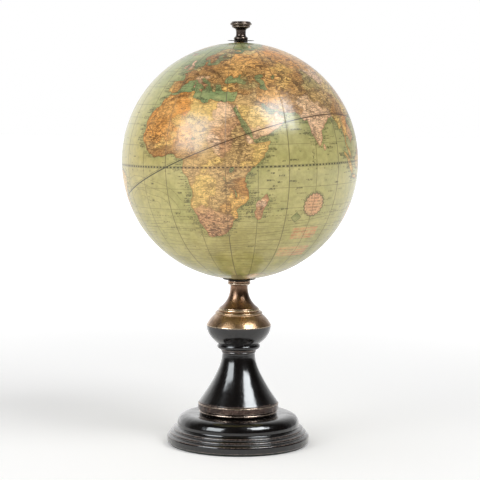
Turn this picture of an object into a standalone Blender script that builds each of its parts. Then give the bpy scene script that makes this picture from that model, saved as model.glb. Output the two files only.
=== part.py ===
"""Desktop globe on a turned stand: an ebonised wood and brass stand, and a papered ball that spins on a rod.

The stand is a stack of turned pieces on the Z axis, drawn together by a tie rod. An axis rod screwed
into the neck carries the ball, and a finial screwed on its top end keeps the ball there.
Lengths in this file are in millimetres, and each mesh is scaled to metres as it is made.
The origin is at the centre of the foot's underside, and the front of the globe looks along -Y.
"""

import math

import bpy

MM = 0.001
GAP = 0.3                     # clearance between pieces that touch on the real object

# The ball
BALL_RADIUS = 120.0           # over the paper
BALL_CENTRE = 290.1           # height above the table
PAPER = 0.5                   # paper, paste and varnish
SHELL = 2.5                   # wall of the moulded board half shells
GORES = 12
GORE_STEPS = 3                # facets across one gore
ROWS = 6                      # facet rows from the equator to the calotte
CALOTTE_LATITUDE = 80.0
FRONT_MERIDIAN = 36.7         # degrees east that face the front

# Rods and their holes, M6
ROD_RADIUS = 3.0
HOLE_RADIUS = ROD_RADIUS + GAP
THREAD_PITCH = 1.0
NUT_ACROSS_FLATS = 10.0

# The stand's outside, from the table up
FOOT_RADIUS = 72.8
FELT_RADIUS = 70.0
FELT = 1.5
DOME_RADIUS = 62.6
DOME_TOP = 31.2
BAND_RADIUS = 41.3
BAND_TOP = 42.9
WAIST_RADIUS = 16.8
COLUMN_TOP = 98.0
COLLAR_RADIUS = 21.7
BOWL_RADIUS = 32.9
BOWL_RIM = 122.0
SHOULDER_TOP = 139.4
NECK_RADIUS = 8.8
NECK_TOP = 167.4
SEAT_RADIUS = 17.0

# The bearings and the top
BUSH_BORE = ROD_RADIUS + 0.4
BUSH_RADIUS = 5.4
BUSH_LENGTH = 12.0
FLANGE_RADIUS = 7.0
FLANGE = 0.7
FLANGE_FACE = 120.2           # from the ball's centre to a flange's outer face
WASHER_RADIUS = 13.4
WASHER = 0.9
FINIAL_RADIUS = 11.0
FINIAL_TOP = 431.6

STAND_STEPS = 32
SMALL_STEPS = 24

WALNUT_BLACK = ("ebonised_wood", (0.016, 0.013, 0.012), 0.16, 0.0)
BRASS = ("antiqued_brass", (0.30, 0.19, 0.09), 0.36, 1.0)
DARK_BRASS = ("dark_brass", (0.06, 0.042, 0.028), 0.42, 1.0)
STEEL = ("zinc_steel", (0.55, 0.56, 0.58), 0.35, 1.0)
FELT_GREEN = ("baize", (0.02, 0.05, 0.03), 0.95, 0.0)
FIBRE = ("red_fibre", (0.25, 0.05, 0.03), 0.7, 0.0)
BOARD = ("moulded_board", (0.42, 0.33, 0.22), 0.85, 0.0)
MAP_PAPER = ("varnished_map_paper", (0.52, 0.50, 0.27), 0.25, 0.0)


def collection(name):
    made = bpy.data.collections.new(name)
    bpy.context.scene.collection.children.link(made)
    return made


def material(finish):
    name, colour, roughness, metallic = finish
    made = bpy.data.materials.get(name) or bpy.data.materials.new(name)
    made.use_nodes = True
    shader = made.node_tree.nodes["Principled BSDF"]
    shader.inputs["Base Color"].default_value = (*colour, 1.0)
    shader.inputs["Roughness"].default_value = roughness
    shader.inputs["Metallic"].default_value = metallic
    return made


def bend(start, pull, end, pieces):
    """Points of a quadratic curve from start to end that leans towards pull."""
    points = []
    for i in range(pieces + 1):
        t = i / pieces
        weights = ((1 - t) ** 2, 2 * t * (1 - t), t * t)
        points.append(tuple(sum(w * p[k] for w, p in zip(weights, (start, pull, end))) for k in (0, 1)))
    return points


def sphere_row(radius, latitude):
    angle = math.radians(latitude)
    return radius * math.cos(angle), radius * math.sin(angle)


def sphere_at(radius, across):
    """A point of a sphere's upper half, across from the axis."""
    return across, math.sqrt(radius ** 2 - across ** 2)


def turned(name, outline, finish, parent, height=0.0, steps=STAND_STEPS, closed=True, sweep=360.0):
    """Turns an outline of (radius, height) about the Z axis. It runs down its outer side."""
    mesh = bpy.data.meshes.new(name)
    edges = [(i, i + 1) for i in range(len(outline) - 1)]
    if closed:
        edges.append((len(outline) - 1, 0))
    mesh.from_pydata([(r * MM, 0.0, z * MM) for r, z in outline], edges, [])
    piece = bpy.data.objects.new(name, mesh)
    PARTS.objects.link(piece)
    piece.parent = parent
    piece.location.z = height * MM
    screw = piece.modifiers.new("turning", "SCREW")
    screw.axis = "Z"
    screw.angle = math.radians(sweep)
    screw.steps = steps
    screw.render_steps = steps
    screw.use_smooth_shade = True
    screw.use_merge_vertices = True
    screw.merge_threshold = 0.00001
    mesh.materials.append(material(finish))
    return piece


def empty(name, height, parent=None):
    made = bpy.data.objects.new(name, None)
    PARTS.objects.link(made)
    made.location.z = height * MM
    made.parent = parent
    return made


def ring(outer, inner, bottom, top):
    return [(inner, top), (outer, top), (outer, bottom), (inner, bottom)]


# The stand, with heights above the table

def felt_pad(stand):
    outline = [(0.0, FELT), (FELT_RADIUS, FELT), (FELT_RADIUS, 0.0), (0.0, 0.0)]
    turned("felt_pad", outline, FELT_GREEN, stand, closed=False)


def base_plinth(stand):
    """A flat-topped dome on three thin steps, bored for the tie rod and counterbored for its nut."""
    underside = FELT + GAP
    counterbore_radius = 14.0
    counterbore_top = 13.8
    outline = [(HOLE_RADIUS, DOME_TOP)]
    outline += bend((50.0, DOME_TOP), (61.5, DOME_TOP - 0.2), (DOME_RADIUS, 21.5), 6)
    outline += [(62.2, 17.8), (65.6, 16.6), (66.6, 15.6), (66.6, 14.2)]
    outline += [(68.8, 13.0), (69.8, 12.0), (69.8, 10.6)]
    outline += [(71.8, 9.4), (FOOT_RADIUS, 7.6), (FOOT_RADIUS, underside + 0.8), (FOOT_RADIUS - 0.8, underside)]
    outline += [(counterbore_radius, underside), (counterbore_radius, counterbore_top)]
    outline += [(HOLE_RADIUS, counterbore_top)]
    turned("base_plinth", outline, WALNUT_BLACK, stand)
    return counterbore_top


def base_fasteners(stand, counterbore_top):
    washer_top = counterbore_top - GAP
    washer_bottom = washer_top - 1.5
    turned("base_washer", ring(9.5, HOLE_RADIUS, washer_bottom, washer_top), STEEL, stand, steps=SMALL_STEPS)

    nut_top = washer_bottom - GAP
    nut_height = 5.0
    corner = NUT_ACROSS_FLATS / 2 / math.cos(math.radians(30))
    nut = turned("base_nut", ring(corner, HOLE_RADIUS + 0.2, nut_top - nut_height, nut_top), STEEL, stand, steps=6)
    nut.modifiers["turning"].use_smooth_shade = False


def tie_rod(stand):
    bottom = 4.8
    top = 150.0
    rod = [(0.0, top), (ROD_RADIUS - 0.4, top), (ROD_RADIUS, top - 0.5)]
    rod += [(ROD_RADIUS, bottom + 0.5), (ROD_RADIUS - 0.4, bottom), (0.0, bottom)]
    turned("tie_rod", rod, STEEL, stand, steps=SMALL_STEPS, closed=False)
    return top


def foot_band(stand):
    """A brass ring with a rounded lower lip, which the column's spigot stands in."""
    bottom = DOME_TOP + GAP
    spigot_radius = 36.2
    outline = [(spigot_radius + GAP, BAND_TOP), (BAND_RADIUS - 0.9, BAND_TOP), (BAND_RADIUS, BAND_TOP - 0.7)]
    outline += [(BAND_RADIUS, 36.0), (BAND_RADIUS - 1.6, 35.1), (BAND_RADIUS - 1.3, 34.2)]
    outline += [(BAND_RADIUS - 1.7, 32.8), (BAND_RADIUS - 2.9, bottom), (spigot_radius + GAP, bottom)]
    turned("foot_band", outline, BRASS, stand)
    return spigot_radius, bottom


def bell_column(stand, spigot_radius, bottom):
    seat = BAND_TOP + GAP
    outline = [(HOLE_RADIUS, COLUMN_TOP), (18.0, COLUMN_TOP), (18.4, 97.0), (17.6, 95.6), (17.2, 94.4)]
    outline += bend((WAIST_RADIUS, 92.5), (WAIST_RADIUS, 76.9), (BAND_RADIUS - 0.7, seat), 8)
    outline += [(spigot_radius, seat), (spigot_radius, bottom), (HOLE_RADIUS, bottom)]
    turned("bell_column", outline, WALNUT_BLACK, stand)


def bowl(stand):
    """The bowl stands on a collar bead, and its core goes up inside the brass shoulder."""
    bottom = COLUMN_TOP + GAP
    outline = [(HOLE_RADIUS, 132.3), (21.6, 132.3), (26.6, 128.7), (30.6, BOWL_RIM)]
    outline += bend((BOWL_RADIUS, BOWL_RIM), (32.6, 112.4), (21.6, 103.8), 6)
    outline += [(COLLAR_RADIUS, 102.4), (COLLAR_RADIUS, 99.8), (COLLAR_RADIUS - 1.0, bottom), (HOLE_RADIUS, bottom)]
    turned("bowl", outline, WALNUT_BLACK, stand)


def shoulder_cap(stand):
    rim = BOWL_RIM + GAP
    outline = [(HOLE_RADIUS, SHOULDER_TOP), (20.4, SHOULDER_TOP), (21.0, 138.2), (20.6, 136.9)]
    outline += [(22.8, 136.5), (23.9, 135.2), (23.8, 133.9)]
    outline += bend((24.6, 133.0), (29.6, 129.0), (32.6, rim), 5)
    outline += [(31.0, rim), (27.0, 129.0), (21.8, 132.6), (HOLE_RADIUS, 132.6)]
    turned("shoulder_cap", outline, BRASS, stand)


def neck(stand):
    bottom = SHOULDER_TOP + GAP
    outline = [(HOLE_RADIUS, NECK_TOP), (10.6, NECK_TOP), (11.4, 166.4), (11.4, 165.0), (10.6, 164.2)]
    outline += bend((NECK_RADIUS, 163.5), (9.3, 149.5), (19.9, 139.9), 7)
    outline += [(19.7, bottom), (HOLE_RADIUS, bottom)]
    turned("neck", outline, BRASS, stand)


def seat_disc(stand):
    """A thin dish whose upper face follows the ball, with a recess for the fibre washer."""
    bottom = NECK_TOP + GAP
    recess = bottom + 1.0
    recess_radius = FLANGE_RADIUS + 0.5
    dish = BALL_RADIUS + 0.5
    outline = [(HOLE_RADIUS, recess), (recess_radius, recess)]
    for across in (recess_radius, 12.2, SEAT_RADIUS - 0.4):
        outline.append((across, BALL_CENTRE - sphere_at(dish, across)[1]))
    outline += [(SEAT_RADIUS, 170.2), (SEAT_RADIUS - 0.5, 169.7), (10.5, 168.8), (9.4, bottom), (HOLE_RADIUS, bottom)]
    turned("seat_disc", outline, DARK_BRASS, stand)
    return recess


def seat_washer(stand, recess):
    bottom = recess + GAP
    outline = ring(FLANGE_RADIUS, HOLE_RADIUS, bottom, bottom + 0.6)
    turned("seat_washer", outline, FIBRE, stand, steps=SMALL_STEPS)


def axis_rod(stand, tie_rod_top):
    bottom = tie_rod_top + 0.5
    top = 424.0
    rod = [(0.0, top), (ROD_RADIUS - 0.4, top), (ROD_RADIUS, top - 0.5)]
    rod += [(ROD_RADIUS, bottom + 0.5), (ROD_RADIUS - 0.4, bottom), (0.0, bottom)]
    turned("axis_rod", rod, STEEL, stand, steps=SMALL_STEPS, closed=False)
    return top


# The ball, with heights above or below its centre

def latitude_rows():
    return [CALOTTE_LATITUDE * i / ROWS for i in range(ROWS, -1, -1)]


def half_shell(name, globe, upper):
    """One moulded half, open at the pole for its bush and cut at the equator."""
    outside = BALL_RADIUS - PAPER - GAP
    inside = outside - SHELL
    hole = BUSH_RADIUS + GAP
    outer = [sphere_at(outside, hole)] + [sphere_row(outside, row) for row in latitude_rows()]
    inner = [sphere_at(inside, hole)] + [sphere_row(inside, row) for row in latitude_rows()]
    outer[-1] = (outer[-1][0], GAP / 2)
    inner[-1] = (inner[-1][0], GAP / 2)
    outline = outer + inner[::-1]
    if not upper:
        outline = [(r, -z) for r, z in reversed(outline)]
    turned(name, outline, BOARD, globe, steps=GORES * GORE_STEPS)
    return inside


def equator_hoop(globe, inside):
    """A flat hoop glued across the joint of the half shells, inside them."""
    outline = [(inside - 4.0, 8.0), (inside - 1.0, 8.0), (inside - 0.4, 0.0), (inside - 1.0, -8.0), (inside - 4.0, -8.0)]
    turned("equator_hoop", outline, BOARD, globe, steps=GORES * GORE_STEPS)


def bush(name, globe, upper):
    """A flanged bearing, its flange outside the shell and flush with the paper."""
    outline = [(BUSH_BORE, FLANGE_FACE), (FLANGE_RADIUS, FLANGE_FACE), (FLANGE_RADIUS, FLANGE_FACE - FLANGE)]
    outline += [(BUSH_RADIUS, FLANGE_FACE - FLANGE), (BUSH_RADIUS, FLANGE_FACE - BUSH_LENGTH)]
    outline += [(BUSH_BORE, FLANGE_FACE - BUSH_LENGTH)]
    if not upper:
        outline = [(r, -z) for r, z in reversed(outline)]
    turned(name, outline, BRASS, globe, steps=SMALL_STEPS)


def paper_gore(number, globe):
    """One twelfth of the printed map, from calotte to calotte, a little narrower than its sector."""
    sector = 360.0 / GORES
    trim = math.degrees(0.5 / BALL_RADIUS)
    rows = latitude_rows()
    outline = [sphere_row(BALL_RADIUS, row) for row in rows + [-row for row in rows[-2::-1]]]
    gore = turned(
        f"gore_{number:02d}", outline, MAP_PAPER, globe,
        steps=GORE_STEPS, closed=False, sweep=sector - trim,
    )
    gore.rotation_euler.z = math.radians((number - 1) * sector + trim / 2)
    paper = gore.modifiers.new("paper", "SOLIDIFY")
    paper.thickness = PAPER * MM
    paper.offset = -1.0
    paper.use_even_offset = True


def calotte(name, globe, upper):
    """The round paper that closes the gores at a pole, with a hole for the bush's flange."""
    inside = BALL_RADIUS - PAPER
    hole = FLANGE_RADIUS + GAP
    edge = CALOTTE_LATITUDE + math.degrees(GAP / BALL_RADIUS)
    outline = [sphere_at(BALL_RADIUS, hole), sphere_row(BALL_RADIUS, edge)]
    outline += [sphere_row(inside, edge), sphere_at(inside, hole)]
    if not upper:
        outline = [(r, -z) for r, z in reversed(outline)]
    turned(name, outline, MAP_PAPER, globe, steps=GORES * GORE_STEPS)


# The top, with heights above the table

def pole_washer(rise):
    bottom = BALL_CENTRE + FLANGE_FACE + GAP
    spigot_radius = 4.9
    outline = ring(WASHER_RADIUS, spigot_radius + GAP, bottom, bottom + WASHER)
    turned("pole_washer", outline, DARK_BRASS, rise)
    return bottom + WASHER, spigot_radius


def finial(turn, washer_top, spigot_radius, rod_top):
    """A waisted knob with a rounded foot, a spigot that holds the washer, and a blind thread."""
    foot = washer_top + GAP
    spigot_bottom = foot - 1.1
    outline = [(0.0, FINIAL_TOP), (9.2, FINIAL_TOP - 0.2), (9.9, FINIAL_TOP - 0.8), (9.9, 429.8)]
    outline += [(FINIAL_RADIUS - 0.3, 429.3), (FINIAL_RADIUS, 428.5), (FINIAL_RADIUS - 0.5, 427.6), (9.0, 427.0)]
    outline += [(9.3, 426.2), (9.0, 425.3), (6.6, 423.8), (4.95, 423.0)]
    outline += [(4.95, 417.0), (5.3, 416.2), (6.5, 415.2), (7.0, 413.8), (6.9, 412.6), (6.3, foot)]
    outline += [(spigot_radius, foot), (spigot_radius, spigot_bottom)]
    outline += [(HOLE_RADIUS, spigot_bottom), (HOLE_RADIUS, rod_top + THREAD_PITCH), (0.0, rod_top + THREAD_PITCH)]
    turned("finial", outline, DARK_BRASS, turn, steps=SMALL_STEPS, closed=False)


for old in list(bpy.data.objects):
    bpy.data.objects.remove(old, do_unlink=True)
PARTS = collection("desktop_globe")

stand_frame = empty("stand_frame", 0.0)
felt_pad(stand_frame)
base_fasteners(stand_frame, base_plinth(stand_frame))
stud_top = tie_rod(stand_frame)
bell_column(stand_frame, *foot_band(stand_frame))
bowl(stand_frame)
shoulder_cap(stand_frame)
neck(stand_frame)
seat_washer(stand_frame, seat_disc(stand_frame))
axis_top = axis_rod(stand_frame, stud_top)

# The empty's own X axis points at the map's prime meridian.
globe_axis = empty("globe_axis", BALL_CENTRE)
globe_axis.rotation_euler.z = math.radians(-90.0 - FRONT_MERIDIAN)
half_shell("ball_south", globe_axis, upper=False)
equator_hoop(globe_axis, half_shell("ball_north", globe_axis, upper=True))
bush("lower_bush", globe_axis, upper=False)
bush("upper_bush", globe_axis, upper=True)
for gore_number in range(1, GORES + 1):
    paper_gore(gore_number, globe_axis)
calotte("south_calotte", globe_axis, upper=False)
calotte("north_calotte", globe_axis, upper=True)

finial_axis = empty("finial_axis", 0.0)
finial(finial_axis, *pole_washer(finial_axis), axis_top)
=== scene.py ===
import math
import random
from functools import partialmethod

import bpy
import numpy as np
from mathutils import Matrix, Vector


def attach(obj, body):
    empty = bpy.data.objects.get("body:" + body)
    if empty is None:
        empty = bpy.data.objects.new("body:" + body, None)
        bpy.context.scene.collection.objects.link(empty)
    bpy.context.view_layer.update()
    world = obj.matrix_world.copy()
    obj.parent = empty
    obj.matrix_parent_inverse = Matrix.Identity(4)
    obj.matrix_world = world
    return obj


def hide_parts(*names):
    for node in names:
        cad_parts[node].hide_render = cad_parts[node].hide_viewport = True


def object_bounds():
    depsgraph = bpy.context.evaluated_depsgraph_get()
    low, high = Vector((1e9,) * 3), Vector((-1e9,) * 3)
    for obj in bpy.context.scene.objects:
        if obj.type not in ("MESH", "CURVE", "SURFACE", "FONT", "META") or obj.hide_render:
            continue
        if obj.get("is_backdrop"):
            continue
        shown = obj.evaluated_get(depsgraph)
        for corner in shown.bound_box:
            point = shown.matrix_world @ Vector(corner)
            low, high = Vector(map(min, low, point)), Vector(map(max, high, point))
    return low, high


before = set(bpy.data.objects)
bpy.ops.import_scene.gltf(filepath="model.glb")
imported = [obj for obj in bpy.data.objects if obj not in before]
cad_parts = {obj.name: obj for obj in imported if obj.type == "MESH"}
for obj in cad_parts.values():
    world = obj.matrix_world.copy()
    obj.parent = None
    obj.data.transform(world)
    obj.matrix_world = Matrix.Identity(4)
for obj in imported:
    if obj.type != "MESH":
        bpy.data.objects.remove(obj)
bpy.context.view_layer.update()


# Felt pad: a disc of dark green baize, punched out and glued under the foot so
# that the stand doesn't scratch the table. Only its edge shows.


def paint(red, green, blue):
    """A colour mixed from 0 to 255 red, green and blue, as the shaders take it."""
    mixed = []
    for part in (red, green, blue):
        level = part / 255.0
        if level <= 0.04045:
            mixed.append(level / 12.92)
        else:
            mixed.append(((level + 0.055) / 1.055) ** 2.4)
    return (*mixed, 1.0)


class Mixing:
    """Short ways to add shader nodes to a tree and to join them up."""

    def __init__(self, tree):
        self.tree = tree
        self.places = self.add("ShaderNodeTexCoord")

    def add(self, kind, **inputs):
        """A new node, with some of its inputs plugged or set."""
        node = self.tree.nodes.new(kind)
        for name, source in inputs.items():
            self.join(source, node.inputs[name.replace("_", " ")])
        return node

    def join(self, source, target):
        """Plugs source into target, or sets target to it if it is a plain value."""
        if isinstance(source, bpy.types.NodeSocket):
            self.tree.links.new(source, target)
        elif source is not None:
            target.default_value = source

    def sum(self, kind, first, second=None):
        """One step of arithmetic."""
        node = self.add("ShaderNodeMath")
        node.operation = kind
        self.join(first, node.inputs[0])
        self.join(second, node.inputs[1])
        return node.outputs[0]

    plus = partialmethod(sum, "ADD")
    minus = partialmethod(sum, "SUBTRACT")
    times = partialmethod(sum, "MULTIPLY")
    most = partialmethod(sum, "MAXIMUM")
    size = partialmethod(sum, "ABSOLUTE")
    fold = partialmethod(sum, "PINGPONG")

    def band(self, source, low, high, to_low=0.0, to_high=1.0, ease="SMOOTHSTEP"):
        """Stretches low to high of the source over to_low to to_high."""
        node = self.add("ShaderNodeMapRange", Value=source, From_Min=low, From_Max=high)
        node.interpolation_type = ease
        self.join(to_low, node.inputs["To Min"])
        self.join(to_high, node.inputs["To Max"])
        return node.outputs[0]

    def blend(self, amount, first, second, kind="MIX"):
        """Second laid over first by that amount."""
        node = self.add("ShaderNodeMix")
        node.data_type = "RGBA"
        node.blend_type = kind
        self.join(amount, node.inputs["Factor"])
        self.join(first, node.inputs[6])
        self.join(second, node.inputs[7])
        return node.outputs[2]


class Finish(Mixing):
    """A material, and the textures and relief that it is mixed from."""

    def __init__(self, name, roughness=0.5, metallic=0.0, **sockets):
        self.material = bpy.data.materials.new(name)
        self.material.use_nodes = True
        super().__init__(self.material.node_tree)
        self.shader = self.tree.nodes["Principled BSDF"]
        sockets.update(Roughness=roughness, Metallic=metallic)
        for socket, value in sockets.items():
            self.shader.inputs[socket.replace("_", " ")].default_value = value

    def squeezed(self, stretch):
        """The piece's own places, with what is laid on them closer along each axis."""
        return self.add(
            "ShaderNodeMapping", Scale=stretch, Vector=self.places.outputs["Object"]
        ).outputs[0]

    def grain(self, per_metre, stretch=(1, 1, 1), detail=3.0, rough=0.5, wander=0.0):
        """Cloudy noise fixed to the piece, with that many lumps to a metre."""
        node = self.add(
            "ShaderNodeTexNoise",
            Vector=self.squeezed(stretch),
            Scale=per_metre,
            Detail=detail,
            Roughness=rough,
            Distortion=wander,
        )
        return node.outputs[0]

    def cells(self, per_metre, stretch=(1, 1, 1)):
        """Distance to the nearest of scattered points, for pores and pits."""
        places = self.squeezed(stretch)
        node = self.add("ShaderNodeTexVoronoi", Vector=places, Scale=per_metre)
        return node.outputs["Distance"]

    def stored(self, name, output="Fac"):
        """A number, or as output a "Color", that is stored on the mesh."""
        node = self.add("ShaderNodeAttribute")
        node.attribute_name = name
        return node.outputs[output]

    def bump(self, height, depth, strength=1.0, under=None):
        """Relief in metres for height 0 to 1. under is another relief below it."""
        node = self.add("ShaderNodeBump", Strength=strength, Distance=depth, Height=height)
        self.join(under, node.inputs["Normal"])
        return node.outputs[0]

    def finish(self, colour=None, roughness=None, normal=None):
        """Plugs the mixed colour, roughness and relief into the shader."""
        self.join(colour, self.shader.inputs["Base Color"])
        self.join(roughness, self.shader.inputs["Roughness"])
        self.join(normal, self.shader.inputs["Normal"])
        if self.shader.inputs["Coat Weight"].default_value > 0:
            self.join(normal, self.shader.inputs["Coat Normal"])
        return self.material


def cover(node, material):
    """Gives a carried-over piece its finish."""
    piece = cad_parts[node]
    if len(piece.material_slots) == 0:
        piece.data.materials.append(material)
    for slot in piece.material_slots:
        slot.material = material


baize = Finish("green baize", roughness=0.95, Sheen_Weight=0.5, Sheen_Roughness=0.6)
fibres = baize.grain(2600, stretch=(1, 1, 0.4), detail=4)
tufts = baize.grain(420, detail=2)
cover(
    "felt_pad",
    baize.finish(
        colour=baize.blend(
            baize.times(fibres, tufts),
            paint(13, 26, 17),
            paint(52, 74, 50),
        ),
        normal=baize.bump(fibres, 0.0004),
    ),
)


# Plinth: the foot, turned from one disc of beech with a rounded dome and three
# stepped ridges, then stained black and French polished. Its underside is bored
# out for the nut that clamps the stand together.

MM = 0.001
ROUND = 192  # facets around a turned piece


def bend(start, pull, end, count=10):
    """Points on the curve from start to end that leans towards pull."""
    start, pull, end = Vector(start), Vector(pull), Vector(end)
    shares = [step / count for step in range(count + 1)]
    return [(1 - t) ** 2 * start + 2 * t * (1 - t) * pull + t * t * end for t in shares]


def eased(outline, ease, closed):
    """The outline with every sharp corner rounded, and how exposed each point is."""
    points, worn = [], []
    count = len(outline)
    for number, here in enumerate(outline):
        at = Vector(here)
        before = Vector(outline[number - 1]) - at
        after = Vector(outline[(number + 1) % count]) - at
        turn = math.pi - before.angle(after, 0.0)
        at_an_end = not closed and number in (0, count - 1)
        if at_an_end or turn < math.radians(12):
            points.append(at)
            worn.append(0.0)
            continue
        cut = min(ease, 0.42 * before.length, 0.42 * after.length)
        start, end = at + before.normalized() * cut, at + after.normalized() * cut
        outwards = before.x * after.y - before.y * after.x
        exposed = min(1.0, turn / 1.2) if outwards > 0 else 0.0
        points += bend(start, at, end, 4)
        worn += [exposed * (1 - abs(step / 4 - 0.5)) for step in range(5)]
    return points, worn


def divided(points, worn, longest, closed):
    """The outline with long stretches split, and its wear, which also places a painted
    highlight, kept near the corners.
    """
    out, edge_wear_and_highlight = [], []
    last = len(points) if closed else len(points) - 1
    for number in range(last):
        a, b = points[number], points[(number + 1) % len(points)]
        wear_a, wear_b = worn[number], worn[(number + 1) % len(points)]
        pieces = max(1, math.ceil((b - a).length / longest))
        for step in range(pieces):
            t = step / pieces
            out.append(a.lerp(b, t))
            near = max(wear_a * (1 - t * 3), wear_b * (t * 3 - 2), 0.0)
            edge_wear_and_highlight.append(near if pieces > 2 else wear_a * (1 - t) + wear_b * t)
    if not closed:
        out.append(points[-1])
        edge_wear_and_highlight.append(worn[-1])
    return out, edge_wear_and_highlight


def store(mesh, label, values, kind="FLOAT", field="value"):
    """Keeps a number for every point of the mesh, or with other kinds a colour."""
    stored = mesh.attributes.new(label, kind, "POINT")
    stored.data.foreach_set(field, values.ravel().astype(np.float32))


def placed(name, data):
    """An object made from a mesh, a light or a camera, and put in the scene."""
    thing = bpy.data.objects.new(name, data)
    bpy.context.scene.collection.objects.link(thing)
    return thing


def turned(name, outline, ease=0.35, closed=True, longest=1.6, relief=None):
    """A lathe-turned piece about the stand's axis. outline is (radius, height) in mm,
    down its outer side, and relief(radius, height, angle) moves its surface outwards.
    """
    points, worn = divided(*eased(outline, ease, closed), longest, closed)
    radius = np.array([p.x for p in points]) * MM
    height = np.array([p.y for p in points]) * MM
    angle = np.arange(ROUND) * math.tau / ROUND
    spread = radius[:, None] + np.zeros(ROUND)
    if relief is not None:
        spread = spread + relief(radius[:, None], height[:, None], angle[None, :])
    up = height[:, None] + np.zeros(ROUND)
    places = np.stack([spread * np.cos(angle), spread * np.sin(angle), up], axis=-1)
    rows = len(points)
    run = np.concatenate([[0], np.cumsum(np.hypot(np.diff(radius), np.diff(height)))])
    round_trip = run[-1] + math.hypot(radius[0] - radius[-1], height[0] - height[-1])
    run = run / round_trip
    faces, spots = [], []
    for row in range(rows if closed else rows - 1):
        below = (row + 1) % rows
        v_here = run[row]
        v_below = run[below] if below else 1.0
        for step in range(ROUND):
            beside = (step + 1) % ROUND
            u, u_next = step / ROUND, (step + 1) / ROUND
            corners = [
                (row * ROUND + step, u, v_here),
                (below * ROUND + step, u, v_below),
                (below * ROUND + beside, u_next, v_below),
                (row * ROUND + beside, u_next, v_here),
            ]
            if radius[row] < 1e-7:
                corners = [(row * ROUND, (u + u_next) / 2, v_here), corners[1], corners[2]]
            elif radius[below] < 1e-7:
                corners = [corners[0], (below * ROUND, (u + u_next) / 2, v_below), corners[3]]
            faces.append([corner[0] for corner in corners])
            spots.extend(corner[1:] for corner in corners)
    mesh = bpy.data.meshes.new(name)
    mesh.from_pydata(places.reshape(-1, 3).tolist(), [], faces)
    unwrapped = mesh.uv_layers.new(name="OFBake")
    unwrapped.data.foreach_set("uv", np.array(spots, np.float32).ravel())
    # How exposed each corner is: where edges wear, and where a painted highlight goes on
    # them.
    store(mesh, "worn", np.repeat(worn, ROUND))
    mesh.validate()
    mesh.shade_smooth()
    return placed(name, mesh)


def settle(piece, material, body, slot, *nodes):
    """Gives a made piece its finish, its body, and the frame's pieces it stands for."""
    piece.data.materials.append(material)
    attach(piece, body)
    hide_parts(*nodes)


def ebonised(name):
    """Black-stained beech under polish: faint grain, pores, dust, and pale rubbed edges that
    are partly a painted highlight.
    """
    wood = Finish(
        name,
        roughness=0.2,
        Specular_IOR_Level=0.1,
        Coat_Weight=1.0,
        Coat_Roughness=0.145,
        Coat_IOR=1.6,
    )
    figure = wood.grain(160, stretch=(1, 1, 0.12), detail=5, wander=0.6)
    pores = wood.band(wood.cells(1300, stretch=(1, 1, 0.16)), 0.0, 0.22, 1.0, 0.0)
    haze = wood.grain(55, detail=4)
    rippled = wood.grain(85, stretch=(1, 1, 0.5), detail=2)
    # Convex corners are painted pale: partly rubbed-through wear, partly a painted highlight
    # along the ridges.
    rubbed_edges_and_highlight = wood.band(
        wood.times(wood.stored("worn"), wood.grain(520, detail=4)), 0.15, 0.35
    )
    stain = wood.blend(figure, paint(7, 6, 6), paint(20, 15, 13))
    stain = wood.blend(wood.times(rubbed_edges_and_highlight, 0.55), stain, paint(150, 130, 120))
    return wood.finish(
        colour=stain,
        roughness=wood.band(haze, 0.3, 0.75, 0.16, 0.34),
        normal=wood.bump(
            pores,
            0.00002,
            under=wood.bump(figure, 0.00004, under=wood.bump(rippled, 0.0004)),
        ),
    )


plinth = turned(
    "turned_plinth",
    [
        (3.5, 31.2),
        *bend((50.0, 31.2), (61.3, 31.1), (62.6, 21.6), 14),
        (62.4, 19.2), (62.9, 17.9), (65.3, 17.1), (66.6, 16.5), (67.0, 15.4), (66.7, 14.3),
        (68.2, 13.6), (69.7, 13.0), (70.1, 11.8), (69.8, 10.6), (71.2, 10.0), (72.6, 9.2),
        (73.0, 7.8), (72.9, 2.8), (72.1, 1.9), (14.2, 1.9), (14.2, 13.7), (3.5, 13.7),
    ],
    ease=0.5,
)
settle(plinth, ebonised("ebonised plinth"), "stand", "ebonised_wood", "base_plinth")


# Clamp hardware: an M6 washer and nut in the plinth's counterbore, a tie rod
# through the wooden pieces, and the axis rod that the ball spins on. All are
# zinc-plated steel, and are hidden once the globe is together.

zinc = Finish("zinc plated steel", roughness=0.3, metallic=1.0)
spangle = zinc.grain(240, detail=3)
drawn = zinc.grain(900, stretch=(1, 1, 0.05), detail=2)
plated = zinc.finish(
    colour=zinc.blend(spangle, paint(150, 152, 148), paint(196, 194, 182)),
    roughness=zinc.band(spangle, 0.2, 0.8, 0.24, 0.42),
    normal=zinc.bump(drawn, 0.00002),
)
for node in ("base_washer", "base_nut", "tie_rod", "axis_rod"):
    cover(node, plated)


# Foot band: a collar of sheet brass, hammered all round, with a rolled lip above, painted
# bright as rubbed brass and as a painted highlight, and a thin one below. It hides the joint
# of the plinth and the bell.


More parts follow.
